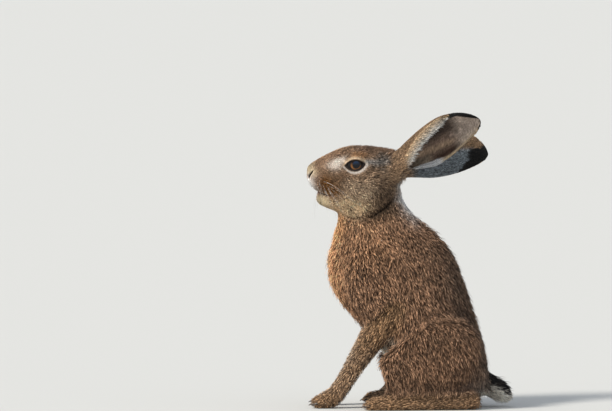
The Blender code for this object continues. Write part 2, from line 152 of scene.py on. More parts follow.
def ring_faces(rings, around, closed=True):
    """Quads between the rings of a grid whose rows are rings; a row's last point meets its first."""
    r, k = np.meshgrid(np.arange(rings - 1), np.arange(around if closed else around - 1), indexing="ij")
    after = (k + 1) % around
    quads = [r * around + k, r * around + after, (r + 1) * around + after, (r + 1) * around + k]
    return np.stack(quads, axis=-1).reshape(-1, 4)


def tube_mesh(name, rings):
    """A mesh of rings of points, closed at both ends by a fan round each end ring's mean."""
    count, around = rings.shape[:2]
    points = np.concatenate([rings.reshape(-1, 3), [rings[0].mean(0)], [rings[-1].mean(0)]])
    faces = ring_faces(count, around).tolist()
    k = np.arange(around)
    after = (k + 1) % around
    last = (count - 1) * around
    faces += np.stack([np.full(around, count * around), after, k], -1).tolist()
    faces += np.stack([np.full(around, count * around + 1), last + k, last + after], -1).tolist()
    mesh = bpy.data.meshes.new(name)
    mesh.from_pydata(points.tolist(), [], faces)
    face_outward(mesh)
    return mesh


def face_outward(mesh):
    shape = bmesh.new()
    shape.from_mesh(mesh)
    bmesh.ops.recalc_face_normals(shape, faces=shape.faces)
    if shape.calc_volume(signed=True) < 0:
        bmesh.ops.reverse_faces(shape, faces=shape.faces)
    shape.to_mesh(mesh)
    shape.free()


def flesh_mesh():
    """Merged copies of the solids, each point moved out by the swell, and a plug in each eye socket."""
    shape = bmesh.new()
    for name in FLESH:
        shape.from_mesh(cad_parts[name].data)
    bmesh.ops.remove_doubles(shape, verts=shape.verts, dist=1e-6)
    mesh = bpy.data.meshes.new("flesh")
    shape.to_mesh(mesh)
    set_vertices(mesh, vertex_array(mesh) + normal_array(mesh) * SWELL)
    shape.clear()
    shape.from_mesh(mesh)
    for side in (-1, 1):
        plug = tube_mesh("plug", sphere_points(EYE * (1, side, 1) * MM, (EYE_RADIUS - 0.7) * MM))
        shape.from_mesh(plug)
    shape.to_mesh(mesh)
    shape.free()
    return mesh


def fused_skin():
    """The flesh as one closed surface of even quads, smoothed."""
    made = placed("skin", flesh_mesh())
    fuse = made.modifiers.new("fuse", "REMESH")
    fuse.mode = "VOXEL"
    fuse.voxel_size = SKIN_VOXEL
    graph = bpy.context.evaluated_depsgraph_get()
    mesh = bpy.data.meshes.new_from_object(made.evaluated_get(graph))
    made.modifiers.clear()
    made.data = mesh
    return made


def refine(mesh, chosen):
    """Each face whose centre is chosen is split into four."""
    shape = bmesh.new()
    shape.from_mesh(mesh)
    shape.faces.ensure_lookup_table()
    centres = np.array([face.calc_center_median() for face in shape.faces]) / MM
    picked = np.nonzero(chosen(centres))[0]
    edges = {edge for k in picked for edge in shape.faces[k].edges}
    bmesh.ops.subdivide_edges(shape, edges=list(edges), cuts=1, use_grid_fill=True)
    shape.to_mesh(mesh)
    shape.free()


def on_face(p):
    return (p[:, 0] < -22) & (p[:, 2] > 224)


def on_paws(p):
    fore = (p[:, 0] < -90) & (p[:, 2] < 20)
    hind = (p[:, 0] < -28) & (np.abs(p[:, 1]) > 42) & (p[:, 2] < 20)
    return fore | hind


def on_features(p):
    eye = np.linalg.norm((p - EYE * (1, 0, 1)) * (1, 0, 1), axis=1) < 17
    muzzle = (p[:, 0] < -96) & (p[:, 2] > 240)
    return (eye & (np.abs(p[:, 1]) > 8)) | muzzle


skin = fused_skin()
smooth = relaxed(vertex_array(skin.data), edge_array(skin.data), 6)
set_vertices(skin.data, smooth)
refine(skin.data, on_face)
refine(skin.data, on_features)
refine(skin.data, on_paws)
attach(skin, "root")
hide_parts(*FLESH)
skin.data.shade_smooth()


# The coat's plan: what each place on the skin carries. Every skin vertex takes a share of each node
# of flesh, softened over the seams, and from these shares come the depth of the coat, the length,
# width and lie of its hair, and its density.
def packed_faces(names):
    """Points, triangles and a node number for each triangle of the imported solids, as one list."""
    points, faces, labels, first = [], [], [], 0
    for number, name in enumerate(names):
        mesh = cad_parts[name].data
        corner = triangle_array(mesh)
        points.append(vertex_array(mesh))
        faces.append(corner + first)
        labels.append(np.full(len(corner), number))
        first += len(mesh.vertices)
    return np.concatenate(points), np.concatenate(faces), np.concatenate(labels)


def node_shares(points, edges, names):
    """One column for each node: how far each vertex belongs to it, from the nearest solid, softened."""
    solid_points, solid_faces, labels = packed_faces(names)
    tree = BVHTree.FromPolygons(solid_points.tolist(), solid_faces.tolist())
    nearest = labels[[tree.find_nearest(p)[2] for p in points.tolist()]]
    return relaxed(np.eye(len(names))[nearest], edges, 14)


def eye_plane(p):
    """Places round the eye, seen from the side: how far outside the lids' opening, and up from it."""
    turn = math.radians(LID_TILT)
    flat = p[:, [0, 2]] - LID_CENTRE
    along = flat @ (math.cos(turn), math.sin(turn))
    up = flat @ (-math.sin(turn), math.cos(turn))
    reach = np.hypot(along, up)
    grid = np.linspace(-1, 1, 121)
    rim_a = np.concatenate([grid, grid[::-1]]) * LID_WIDTH / 2
    rim_u = np.concatenate([(1 - grid**2) ** 0.75, -((1 - grid**2) ** 0.75)]) * LID_HEIGHT / 2
    order = np.argsort(np.arctan2(rim_u, rim_a))
    rim = np.interp(
        np.arctan2(up, along),
        np.arctan2(rim_u, rim_a)[order],
        np.hypot(rim_a, rim_u)[order],
        period=2 * math.pi,
    )
    return reach - rim, up


LID_CENTRE = (-62.8, 278.9)
LID_WIDTH = 21.4
LID_HEIGHT = 10.9
LID_TILT = 4.0

points = vertex_array(skin.data) / MM
edges = edge_array(skin.data)
share = node_shares(points * MM, edges, FLESH)
belongs = {name: share[:, k] for k, name in enumerate(FLESH)}
off_lid = eye_plane(points)[0]
off_lid = np.where(np.abs(points[:, 1]) > 8, off_lid, 40.0)
depth = share @ np.array(by_part(COAT_DEPTH))
face_depth = 0.5 + 1.9 * smoothstep(-112, -40, points[:, 0])
depth += belongs["head"] * (face_depth - COAT_DEPTH["head"])
depth *= 0.1 + 0.9 * smoothstep(3, 14, off_lid)
points = points - normal_array(skin.data) * depth[:, None]
points = relaxed(points, edges, 3, 0.5 * smoothstep(2, 10, off_lid))


# The face: lids round the eye, nostrils, the cleft and line of the mouth, and the fine swells of brow
# and cheek. Each is a move of the skin's own points along their normals, in millimetres.
NOSTRIL = np.array(
    [(-115.6, 6.6, 264.2), (-114.6, 8.2, 266.6), (-112.6, 10.0, 269.6), (-111.0, 11.2, 272.0)]
)
NOSTRIL_HALF = (1.7, 1.6, 1.1, 0.5)
NOSTRIL_DEPTH = 3.0
MOUTH = np.array([(-108.5, 3.5, 247.5), (-104.0, 9.0, 245.6), (-96.0, 13.0, 244.2), (-88.0, 16.0, 243.0)])
LID_EDGE = 1.5
CROWN_LIFT = 2.2
JAW_FOLD_DEPTH = 3.4
JAW_SWELL = 0.9
TOE_GAP_DEPTH = 1.6
MOUTH_DEPTH = 1.3
CLEFT_DEPTH = 1.8
JAW_EDGE = np.array(
    [(-79, 221.5), (-70, 219.5), (-58, 217.8), (-44, 221), (-30, 230), (-19, 241), (-13, 252)]
)


def side_distance(p, path):
    """Distance from a path drawn on the side view, whatever the point's place across the body."""
    flat = p[:, [0, 2]]
    best = np.full(len(p), 1e9)
    for a, b in zip(path[:-1], path[1:]):
        t = np.clip(((flat - a) @ (b - a)) / ((b - a) @ (b - a)), 0, 1)
        best = np.minimum(best, np.linalg.norm(flat - a - t[:, None] * (b - a), axis=1))
    return best


def segment_distance(p, path, half=None):
    """Distance from each point to the nearest place on a path of straight stretches, less the path's
    own half width there, if it has one."""
    half = half or (0.0,) * len(path)
    best = np.full(len(p), 1e9)
    for a, b, wide, next_wide in zip(path[:-1], path[1:], half[:-1], half[1:]):
        t = np.clip(((p - a) @ (b - a)) / ((b - a) @ (b - a)), 0, 1)
        away = np.linalg.norm(p - a - t[:, None] * (b - a), axis=1)
        best = np.minimum(best, away - wide - t * (next_wide - wide))
    return best


def folded(p):
    """The points with their left side laid over the right, so that one side's sizes serve for both."""
    return p * (1, 0, 1) + np.abs(p) * (0, 1, 0)


def snapped(path, p):
    """The path's points moved onto the nearest points of the surface."""
    near = folded(p)
    return near[[np.argmin(np.linalg.norm(near - spot, axis=1)) for spot in path]]


def swell(p, centre, radii):
    """1 at the centre of a soft ellipsoid of these radii, fading to 0 outside it."""
    q = ((folded(p) - centre) / radii) ** 2
    return np.exp(-1.6 * q.sum(axis=1))


def lid_height(off, up):
    """How far the lids stand from the eye's centre: under the eyeball inside the opening, a round
    edge, then a fold that is deeper above than below."""
    edge = smoothstep(-0.5, 0.9, off)
    fold = np.exp(-(((off - 3.9) / 1.0) ** 2)) * np.where(up > 0, 0.8, 0.35)
    return EYE_RADIUS - 0.8 + edge * (0.8 + LID_EDGE) + 0.35 * smoothstep(0.9, 3, off) - fold


set_vertices(skin.data, points * MM)
normals = normal_array(skin.data)
off_lid, up_lid = eye_plane(points)
eye_side = EYE * np.where(points[:, 1:2] > 0, (1, 1, 1), (1, -1, 1))
from_eye = points - eye_side
outward = from_eye[:, 1] * np.sign(points[:, 1])
crown = swell(points, np.array((-16, 13, 291)), np.array((15, 16, 9)))
points += normals * (CROWN_LIFT * crown)[:, None]
by_eye = (1 - smoothstep(3.0, 8.5, off_lid)) * smoothstep(1.0, 4.0, outward)
on_lid = eye_side + unit(from_eye) * lid_height(off_lid, up_lid)[:, None]
points += by_eye[:, None] * (on_lid - points)

nostril = snapped(NOSTRIL, points)
off_nostril = segment_distance(folded(points), nostril, NOSTRIL_HALF)
slit = np.exp(-((off_nostril + 0.9).clip(0) ** 3))
wing = np.exp(-(((off_nostril - 1.9) / 1.0) ** 2))
jaw_off = side_distance(points, JAW_EDGE)
jaw_fold = np.exp(-((jaw_off / 3.6) ** 2)) * smoothstep(4, 13, np.abs(points[:, 1]))
points -= normals * (JAW_FOLD_DEPTH * jaw_fold)[:, None]
jaw_swell = np.exp(-(((jaw_off - 9.0) / 5.0) ** 2))
jaw_swell = jaw_swell * (points[:, 2] > 226) * smoothstep(10, 20, np.abs(points[:, 1]))
points += normals * (JAW_SWELL * jaw_swell * smoothstep(-90, -70, points[:, 0]))[:, None]
toe_gap = np.zeros(len(points))
for foot, middle, spread, start in (("foreleg", 26, 8.0, -94), ("hind_foot", 57, 10.0, -30)):
    on_foot = belongs[foot + "_left"] + belongs[foot + "_right"]
    for gap in (-0.62, 0.0, 0.62):
        line = np.abs(points[:, 1]) - middle - gap * spread
        reach = smoothstep(start, start - 9, points[:, 0]) * on_foot * (points[:, 2] < 18)
        toe_gap = np.maximum(toe_gap, np.exp(-((line / 1.1) ** 2)) * reach)
points -= normals * (TOE_GAP_DEPTH * toe_gap)[:, None]
mouth_path = snapped(MOUTH, points)
off_mouth = segment_distance(folded(points), mouth_path)
crease = np.exp(-((off_mouth / 1.5) ** 2)) * smoothstep(-86, -92, points[:, 0])
cleft = np.exp(-((points[:, 1] / 1.0) ** 2)) * smoothstep(-109, -112, points[:, 0])
cleft *= smoothstep(245, 248, points[:, 2]) * (1 - smoothstep(261, 265, points[:, 2]))
relief = 0.45 * wing - NOSTRIL_DEPTH * slit - MOUTH_DEPTH * crease - CLEFT_DEPTH * cleft
points += normals * relief[:, None]
points = relaxed(points, edges, 3, 0.5 * (off_nostril < 3.0))
set_vertices(skin.data, points * MM)


# The markings, as linear colours: a brown coat ticked with black and cream, a rust whisker pad, pale
# patches before and behind the eye, an orange chest with a paler front of painted sunlight, a grey
# nape, and white under the belly and tail. Painted shade darkens the crease under and behind the jaw,
# the nostrils, the line of the mouth, the cleft and the gaps between the toes. Skin and hair both take
# their colour from here.
BROWN = (0.335, 0.190, 0.112)
WHITE = (0.88, 0.81, 0.70)
MARKS = [
    # centre, radii, colour, how strong
    ((-5, 0, 262), (26, 60, 30), (0.27, 0.21, 0.155), 0.7),
    ((72, 0, 130), (62, 60, 150), (0.135, 0.092, 0.066), 0.8),
    ((-92, 0, 172), (26, 44, 62), (0.78, 0.41, 0.21), 0.95),
    # the front of the chest, paler peach: painted sunlight along the front edge of the orange chest
    ((-104, 0, 176), (14, 30, 56), (0.92, 0.58, 0.34), 0.95),
    ((-84, 0, 208), (18, 36, 19), (0.90, 0.47, 0.21), 0.95),
    ((-56, 25, 188), (40, 30, 44), (0.50, 0.275, 0.150), 0.75),
    ((-40, 0, 62), (52, 30, 30), (0.74, 0.68, 0.60), 0.95),
    ((10, 0, 20), (74, 42, 26), (0.76, 0.72, 0.66), 0.95),
    ((-60, 20, 262), (60, 34, 44), (0.31, 0.205, 0.130), 0.9),
    ((-48, 0, 303), (34, 22, 12), (0.19, 0.120, 0.085), 0.85),
    ((-77, 0, 298), (13, 16, 7), (0.45, 0.285, 0.175), 0.8),
    ((-94, 0, 288), (22, 15, 10), (0.44, 0.27, 0.165), 0.9),
    ((-113, 0, 272), (9, 16, 8), (0.68, 0.56, 0.38), 0.95),
    ((-94, 12, 255.5), (20, 14, 13), (0.215, 0.092, 0.024), 1.0),
    ((-117, 0, 256.5), (10.0, 20, 11), (0.97, 0.96, 0.94), 1.0),
    ((-119, 0, 264.5), (4, 5, 3.5), (0.42, 0.27, 0.22), 0.8),
    ((-100, 0, 236), (17, 16, 9), (0.68, 0.56, 0.36), 0.95),
    ((-107, 0, 243.5), (5, 9, 5.5), (0.24, 0.12, 0.115), 1.0),
    ((-86, 20, 281), (12, 9, 7.5), (0.90, 0.78, 0.68), 1.0),
    ((-66, 18, 264.5), (17, 9, 4.5), (0.16, 0.088, 0.048), 0.85),
    ((-60, 24, 291.5), (11, 8, 4.5), (0.50, 0.27, 0.135), 0.9),
    ((-56, 22, 250), (24, 12, 15), (0.53, 0.385, 0.26), 0.85),
    ((-68, 16, 231), (26, 16, 13), (0.74, 0.54, 0.33), 0.9),
    # a dark patch behind the jaw: painted shadow in the crease there
    ((-31, 24, 240), (13, 16, 17), (0.165, 0.105, 0.062), 0.8),
    ((-16, 24, 270), (17, 14, 18), (0.36, 0.235, 0.140), 0.8),
    ((-34, 24, 283), (9, 12, 14), (0.105, 0.078, 0.058), 0.85),
    ((-2, 0, 243), (14, 20, 27), (0.70, 0.70, 0.70), 0.95),
]


def coat_colour(p, normal, shares):
    """The coat's colour at points in millimetres: brown, then each mark laid over it in turn, then
    the tail, black above and white below, and the white under the belly."""
    wander = np.sin(p[:, [1, 2, 0]] * 0.21 + 1.3) + np.sin(p[:, [2, 0, 1]] * 0.37)
    p = p + wander * 1.3
    colour = np.tile(np.array(BROWN), (len(p), 1))
    legs = shares["foreleg_left"] + shares["foreleg_right"]
    feet = shares["hind_foot_left"] + shares["hind_foot_right"]
    colour += np.clip(legs + feet, 0, 1)[:, None] * (np.array((0.36, 0.215, 0.115)) - colour)
    for centre, radii, mark, strength in MARKS:
        weight = strength * np.clip(swell(p, np.array(centre), np.array(radii)) * 1.7, 0, 1)
        colour += weight[:, None] * (np.array(mark) - colour)
    under = shares["torso"] * smoothstep(-0.25, -0.65, normal[:, 2]) * (1 - smoothstep(70, 110, p[:, 2]))
    colour += under[:, None] * (np.array(WHITE) - colour)
    tail = smoothstep(0.4, 0.9, shares["tail"])[:, None]
    top = smoothstep(-0.15, 0.30, normal[:, 2])[:, None]
    return colour + tail * (np.array(WHITE) + top * (np.array((0.016, 0.013, 0.012)) - WHITE) - colour)


def drift(p, size, salt):
    """Smooth wander between about -1 and 1, of this size in millimetres: a few sines across space."""
    pick = np.random.default_rng(salt)
    waves = pick.normal(size=(6, 3)) * (2 * math.pi / size / 1.7)
    return np.sin(p @ waves.T + pick.uniform(0, 6.28, 6)).sum(axis=-1) / 2.4


def eye_marks(p, colour):
    """Round the eye: a near black lid edge, then a pale ring that runs back in a grey streak. Also painted
    shadow along the crease under and behind the jaw.
    """
    off, up = eye_plane(p)
    beside = smoothstep(8, 14, np.abs(p[:, 1]))
    ring = np.exp(-(((off - 3.1) / 1.35) ** 2)) * beside
    cream = np.where((up > 0)[:, None], (0.66, 0.50, 0.34), (0.58, 0.54, 0.50))
    colour = colour + 0.85 * ring[:, None] * (cream - colour)
    back = p[:, 0] - EYE[0]
    streak = np.exp(-(((p[:, 2] - EYE[2] - 1.5) / 3.2) ** 2))
    streak = streak * smoothstep(9, 13, back) * (1 - smoothstep(30, 40, back))
    colour += 0.75 * (streak * beside)[:, None] * (np.array((0.34, 0.34, 0.335)) - colour)
    # painted shadow: along the crease under the jaw the colour goes towards near black, wider and stronger
    # behind the jaw
    behind = smoothstep(-62, -38, p[:, 0])
    under = np.exp(-((side_distance(p, JAW_EDGE) / (2.8 + 3.6 * behind)) ** 2))
    under *= smoothstep(6, 14, np.abs(p[:, 1])) * (0.55 + 0.42 * behind)
    colour = colour + under[:, None] * (np.array((0.034, 0.021, 0.012)) - colour)
    flecks = np.exp(-((p[:, 0] + 34) / 8.5) ** 2 - ((p[:, 2] - 285) / 13) ** 2) * beside
    stripe = np.sin((p[:, 0] + 0.18 * p[:, 2]) * 1.9 + 1.4 * drift(p, 9, 12))[:, None]
    tone = np.where(stripe > 0.1, (0.30, 0.245, 0.20), (0.030, 0.020, 0.015))
    colour = colour + 0.75 * flecks[:, None] * (tone - colour)
    on_pad = swell(p, np.array((-97, 12, 258)), np.array((14, 12, 9)))
    spots = smoothstep(0.35, 0.8, drift(p, 3.4, 13)) * on_pad
    colour = colour + 0.8 * np.clip(spots, 0, 1)[:, None] * (np.array((0.045, 0.018, 0.006)) - colour)
    edge = (1 - smoothstep(1.0, 1.9, off)) * beside
    return colour + edge[:, None] * (np.array((0.018, 0.012, 0.010)) - colour)


colour = eye_marks(points, coat_colour(points, normals, belongs))
# painted shade: near black inside the nostril slits
in_nostril = (1 - smoothstep(-0.2, 0.7, off_nostril))[:, None]
colour += in_nostril * (np.array((0.020, 0.012, 0.010)) - colour)
# the line of the mouth: partly the dark lip skin, partly painted shade in the slit between the lips
in_mouth = 0.85 * (1 - smoothstep(0.4, 1.7, off_mouth))[:, None]
colour += in_mouth * (np.array((0.050, 0.022, 0.018)) - colour)
# painted shade: darker along the gaps between the toes
colour *= 1 - 0.6 * toe_gap[:, None]
# painted shade: darker in the groove of the cleft
colour += 0.75 * cleft[:, None] * (np.array((0.11, 0.055, 0.045)) - colour)


def write_colour(mesh, name, colour):
    layer = mesh.attributes.new(name, "FLOAT_COLOR", "POINT")
    rgba = np.concatenate([np.clip(colour, 0, 1), np.ones((len(colour), 1))], axis=1)
    layer.data.foreach_set("color", np.ascontiguousarray(rgba, np.float32).ravel())


write_colour(skin.data, "coat", colour)


def coat_material(name, grain, stretch, detail, window, gain):
    """A material whose colour is the mesh's own, scaled by fine noise: noise between the two ends of the
    window becomes a factor between the two ends of the gain. Returned with its shader and its noise."""
    made = bpy.data.materials.new(name)
    made.use_nodes = True
    tree = made.node_tree
    shader = tree.nodes["Principled BSDF"]
    coat = tree.nodes.new("ShaderNodeAttribute")
    coat.attribute_name = "coat"
    place = tree.nodes.new("ShaderNodeTexCoord")
    squash = tree.nodes.new("ShaderNodeMapping")
    squash.inputs["Scale"].default_value = stretch
    tree.links.new(place.outputs["Object"], squash.inputs["Vector"])
    noise = tree.nodes.new("ShaderNodeTexNoise")
    noise.inputs["Scale"].default_value = grain
    noise.inputs["Detail"].default_value = detail
    tree.links.new(squash.outputs["Vector"], noise.inputs["Vector"])
    ramp = tree.nodes.new("ShaderNodeMapRange")
    for socket, value in zip(("From Min", "From Max", "To Min", "To Max"), (*window, *gain)):
        ramp.inputs[socket].default_value = value
    tree.links.new(noise.outputs["Fac"], ramp.inputs["Value"])
    mix = tree.nodes.new("ShaderNodeVectorMath")
    mix.operation = "SCALE"
    tree.links.new(coat.outputs["Color"], mix.inputs[0])
    tree.links.new(ramp.outputs["Result"], mix.inputs["Scale"])
    tree.links.new(mix.outputs["Vector"], shader.inputs["Base Color"])
    return made, shader, noise


def hide_material(name, roughness, grain, relief):
    """Skin or hair: the coat's own colour, broken by fine grain, with a short-haired relief."""
    made, shader, noise = coat_material(name, grain, (1.0, 1.0, 0.35), 4.0, (0.3, 0.7), (0.55, 1.35))
    shader.inputs["Roughness"].default_value = roughness
    shader.inputs["Specular IOR Level"].default_value = 0.25
    bump = made.node_tree.nodes.new("ShaderNodeBump")
    bump.inputs["Strength"].default_value = relief
    bump.inputs["Distance"].default_value = 0.0006
    made.node_tree.links.new(noise.outputs["Fac"], bump.inputs["Height"])
    made.node_tree.links.new(bump.outputs["Normal"], shader.inputs["Normal"])
    return made


skin.data.materials.clear()
skin.data.materials.append(hide_material("hide", 0.8, 900.0, 0.7))


# The fur: guard hair in tufts, each a thin closed blade of three sides that leaves the hide at a low
# angle and lies along the body. It is longest on back and flanks and shortest on face and feet.
EARS = {
    # root, tip, the way it opens, bow of the back, side of the front margin
    "ear_left": ((-14, -17, 279.5), (79.8, -40, 330.6), (0.10, -0.96, -0.20), 5.0, -1),
    "ear_right": ((-13, 17, 274.5), (90.5, 36, 291.0), (0.02, 0.92, 0.36), 4.0, 1),
}
LIE = {
    "head": (1.0, 0.0, -0.08),
    "neck": (0.30, 0.0, -1.0),
    "torso": (0.34, 0.0, -1.0),
    "tail": (1.0, 0.0, -0.35),
    "foreleg": (-0.50, 0.0, -1.0),
    "thigh": (0.30, 0.0, -1.0),
    "hind_foot": (-1.0, 0.0, -0.12),
}
# the shares of plain, dark-tipped and pale-tipped tufts
KINDS = [0.38, 0.38, 0.24]
HAIR = {
    # length, width, distance between roots, in millimetres
    "head": (5.4, 0.95, 1.00),
    "neck": (9.5, 1.20, 1.30),
    "torso": (10.5, 1.35, 1.40),
    "tail": (11.0, 1.30, 1.40),
    "foreleg": (6.0, 1.00, 1.40),
    "thigh": (10.0, 1.30, 1.40),
    "hind_foot": (5.0, 0.95, 1.40),
}
LONG_RINGS = (0.0, 0.34, 0.70)
SHORT_RINGS = (0.0, 0.55)


def ear_stems(p):
    """How near each point is to the stem of the ear on its own side, and the way that ear points."""
    amount, along = np.zeros(len(p)), np.zeros(p.shape)
    for root, tip, _, _, _ in EARS.values():
        root, tip = np.array(root, float), np.array(tip, float)
        axis = unit(tip - root)
        near = np.exp(-((segment_distance(p, [root - axis * 14, root + axis * 8]) / 15) ** 4))
        near = near * (p[:, 1] * root[1] > 0)
        amount += near
        along += near[:, None] * axis
    return np.clip(amount, 0, 1), along


def lie_field(p, normals, shares, off):
    """The way the hair lies: each node's own direction, bent on the face, laid into the surface."""
    lie = sum(shares[name][:, None] * np.array(way) for name, way in zip(FLESH, by_part(LIE)))
    side = np.sign(p[:, 1:2])
    head = shares["head"][:, None]
    cheek = (1 - smoothstep(244, 266, p[:, 2])) * smoothstep(-98, -70, p[:, 0])
    lie = lie + head * cheek[:, None] * (-0.35, 0.0, -0.75)
    nape = smoothstep(-30, -8, p[:, 0]) * (1 - smoothstep(268, 284, p[:, 2]))
    lie = lie + head * nape[:, None] * (-0.5, 0.0, -0.9)
    stem, along = ear_stems(p)
    lie = lie + 4.0 * stem[:, None] * along
    near = np.exp(-((np.maximum(off, 0) / 5.5) ** 2))[:, None] * head
    lie = lie + 1.1 * near * unit((p - EYE * (1, 0, 1)) * (1, 0, 1))
    chest = shares["torso"] * (1 - smoothstep(-96, -60, p[:, 0]))
    lie = lie + chest[:, None] * (-0.25, 0, 0)
    belly = (shares["torso"] * np.clip(-normals[:, 2], 0, 1))[:, None]
    lie = lie + belly * (0.9, 0, 0) + side * (0, 0.10, 0)
    return lie


def spread_roots(mesh, corner, spacing, wanted):
    """Roots on the triangles, drawn at random and thinned to one in each cell of the spacing."""
    p = vertex_array(mesh) / MM
    a, b, c = p[corner[:, 0]], p[corner[:, 1]], p[corner[:, 2]]
    area = np.linalg.norm(np.cross(b - a, c - a), axis=1) / 2 * wanted
    count = int(3.2 * (area / spacing**2).sum())
    chance = np.cumsum(area / spacing**2)
    tri = np.searchsorted(chance / chance[-1], rng.uniform(0, 1, count))
    tri = np.minimum(tri, len(corner) - 1)
    u, v = rng.uniform(0, 1, (2, count))
    fold = u + v > 1
    u, v = np.where(fold, 1 - u, u), np.where(fold, 1 - v, v)
    weight = np.stack([1 - u - v, u, v], axis=1)
    root = np.einsum("nk,nkd->nd", weight, p[corner[tri]])
    cell = np.floor(root / spacing[tri, None]).astype(np.int64)
    code = (cell[:, 0] * 4096 + cell[:, 1]) * 4096 + cell[:, 2]
    code = code * 16 + (spacing[tri] * 4).astype(np.int64)
    _, first = np.unique(code, return_index=True)
    return tri[first], weight[first]


def blade_points(root, normal, lie, length, width, lift, sway, rings):
    """Rings of three points and a tip: along the lie, rising as 1-(1-t)^2 of the lift, swung to the
    side as t^2, with the ring's ridge up and its flat side down."""
    t = np.array(rings + (1.0,))[None, :, None]
    side = np.cross(normal, lie)
    path = root[:, None] + (lie * length[:, None])[:, None] * t
    path = path + (normal * lift[:, None])[:, None] * (1 - (1 - t) ** 2) - 0.5 * normal[:, None] * (t == 0)
    path = path + (side * sway[:, None])[:, None] * t**2
    half = np.array([0.75, 1.0, 0.72] if len(rings) == 3 else [0.85, 0.85])[None, :, None]
    half = half * (width / 2)[:, None, None]
    body = path[:, :-1]
    left = body - side[:, None] * half
    right = body + side[:, None] * half
    ridge = body + normal[:, None] * half * 0.75
    around = np.stack([left, right, ridge], axis=2).reshape(len(root), -1, 3)
    return np.concatenate([around, path[:, -1:]], axis=1)


def blade_faces(rings):
    """The faces of one blade, as rows of points: its root, the walls between rings, and its tip."""
    faces = [(0, 2, 1)]
    for ring in range(rings - 1):
        for k in range(3):
            a, b = ring * 3 + k, ring * 3 + (k + 1) % 3
            faces += [(a, b, b + 3), (a, b + 3, a + 3)]
    last = (rings - 1) * 3
    faces += [(last + k, last + (k + 1) % 3, rings * 3) for k in range(3)]
    return np.array(faces)


def blade_colours(base, kind, rings):
    """Colour up each blade: darkened at the root as painted shade deep in the coat, the coat's colour at
    its middle, then a pale band and a tip that is black on some hairs and cream on others."""
    # painted shade: the factor darkens each blade towards its root, where the coat shades it
    shade = np.array([0.28, 0.66, 1.05, 1.1] if rings == 3 else [0.42, 1.0, 1.05])
    colour = base[:, None] * shade[None, :, None]
    dark = kind == 1
    light = kind == 2
    colour[dark, -2:] = base[dark, None] * np.array([0.30, 0.14])[None, :, None]
    pale = base[light] * 1.9 + np.array((0.02, 0.015, 0.010))
    colour[light, -2:] = pale[:, None] * np.array([1.0, 1.25])[None, :, None]
    per_point = np.repeat(colour[:, :-1], 3, axis=1)
    return np.concatenate([per_point, colour[:, -1:]], axis=1)


def unwrapped(p, origin, axis):
    """Angle round an axis and place along it, both stretched to fill a square map."""
    axis = unit(np.array(axis, float))
    across = unit(np.cross(axis, (0.0, 1.0, 0.02)))
    up = np.cross(axis, across)
    q = p - origin
    both = np.stack([np.arctan2(q @ up, q @ across), q @ axis], axis=1)
    rank = np.argsort(np.argsort(both, axis=0), axis=0) / len(p)
    flat = (both - both.min(0)) / np.maximum(np.ptp(both, axis=0), 1e-6)
    return 0.01 + 0.975 * (0.5 * flat + 0.5 * rank)


FLOOR_GAP = 0.25


def above_floor(blades):
    """Blades that would reach the floor are squeezed upward, each about its own highest point."""
    top = blades[..., 2].max(axis=1, keepdims=True)
    low = blades[..., 2].min(axis=1, keepdims=True)
    squeeze = np.clip((top - FLOOR_GAP) / np.maximum(top - low, 1e-6), 0, 1)
    up = top + (blades[..., 2] - top) * squeeze
    return np.concatenate([blades[..., :2], up[..., None]], axis=-1)


def fur_piece(name, blades, colours, spots, rings):
    """One mesh of all the blades, with its colours and its bake map: a small patch for each blade."""
    blades = above_floor(blades)
    count, each = blades.shape[:2]
    faces = blade_faces(rings)
    loops = (np.arange(count)[:, None, None] * each + faces[None]).reshape(-1)
    mesh = bpy.data.meshes.new(name)
    mesh.vertices.add(count * each)
    mesh.vertices.foreach_set("co", np.ascontiguousarray(blades * MM, np.float32).ravel())
    total = count * len(faces)
    mesh.loops.add(total * 3)
    mesh.loops.foreach_set("vertex_index", loops.astype(np.int32))
    mesh.polygons.add(total)
    mesh.polygons.foreach_set("loop_start", np.arange(0, total * 3, 3, dtype=np.int32))
    mesh.update(calc_edges=True)
    write_colour(mesh, "coat", colours.reshape(-1, 3))
    level = np.append(np.repeat(np.arange(rings), 3), rings) / rings
    across = np.append(np.tile([0.0, 1.0, 0.5], rings), 0.5)
    patch = 0.003 * np.stack([across, level], axis=1)
    spot = spots[:, None] + patch[None]
    uv = mesh.uv_layers.new(name="OFBake")
    uv.data.foreach_set("uv", np.ascontiguousarray(spot.reshape(-1, 2)[loops], np.float32).ravel())
    mesh.materials.append(HAIR_MATERIAL)
    made = placed(name, mesh)
    mesh.shade_smooth()
    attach(made, "root")
    return made


HAIR_MATERIAL = hide_material("hair", 0.6, 1400.0, 0.15)
mesh = skin.data
corner = triangle_array(mesh)
normals = normal_array(mesh)
off_lid = np.where(np.abs(points[:, 1]) > 8, eye_plane(points)[0], 40.0)
lie = lie_field(points, normals, belongs, off_lid)
lie = relaxed(lie - normals * (lie * normals).sum(1, keepdims=True), edges, 12)
hair = share @ np.array(by_part(HAIR))
face = smoothstep(-118, -55, points[:, 0])
short = belongs["head"] * (1 - face)
hair[:, 0] *= 1 - 0.68 * short
hair[:, 1] *= 1 - 0.25 * short
hair[:, 2] *= 1 - 0.15 * short
stem = ear_stems(points)[0] * belongs["head"]
hair[:, 0] += 4.6 * stem
hair[:, 0] *= 1 - 0.45 * belongs["tail"] * smoothstep(100, 114, points[:, 0])
paw = (belongs["foreleg_left"] + belongs["foreleg_right"]) * (1 - smoothstep(10, 45, points[:, 2]))
hair[:, 0] *= 1 - 0.3 * paw
hair[:, 0] *= 0.34 + 0.66 * smoothstep(2, 10, off_lid)
hair[:, 1] *= 0.50 + 0.50 * smoothstep(2, 8, off_lid)
hair[:, 0] *= 0.40 + 0.60 * smoothstep(0.9, 7, off_nostril)
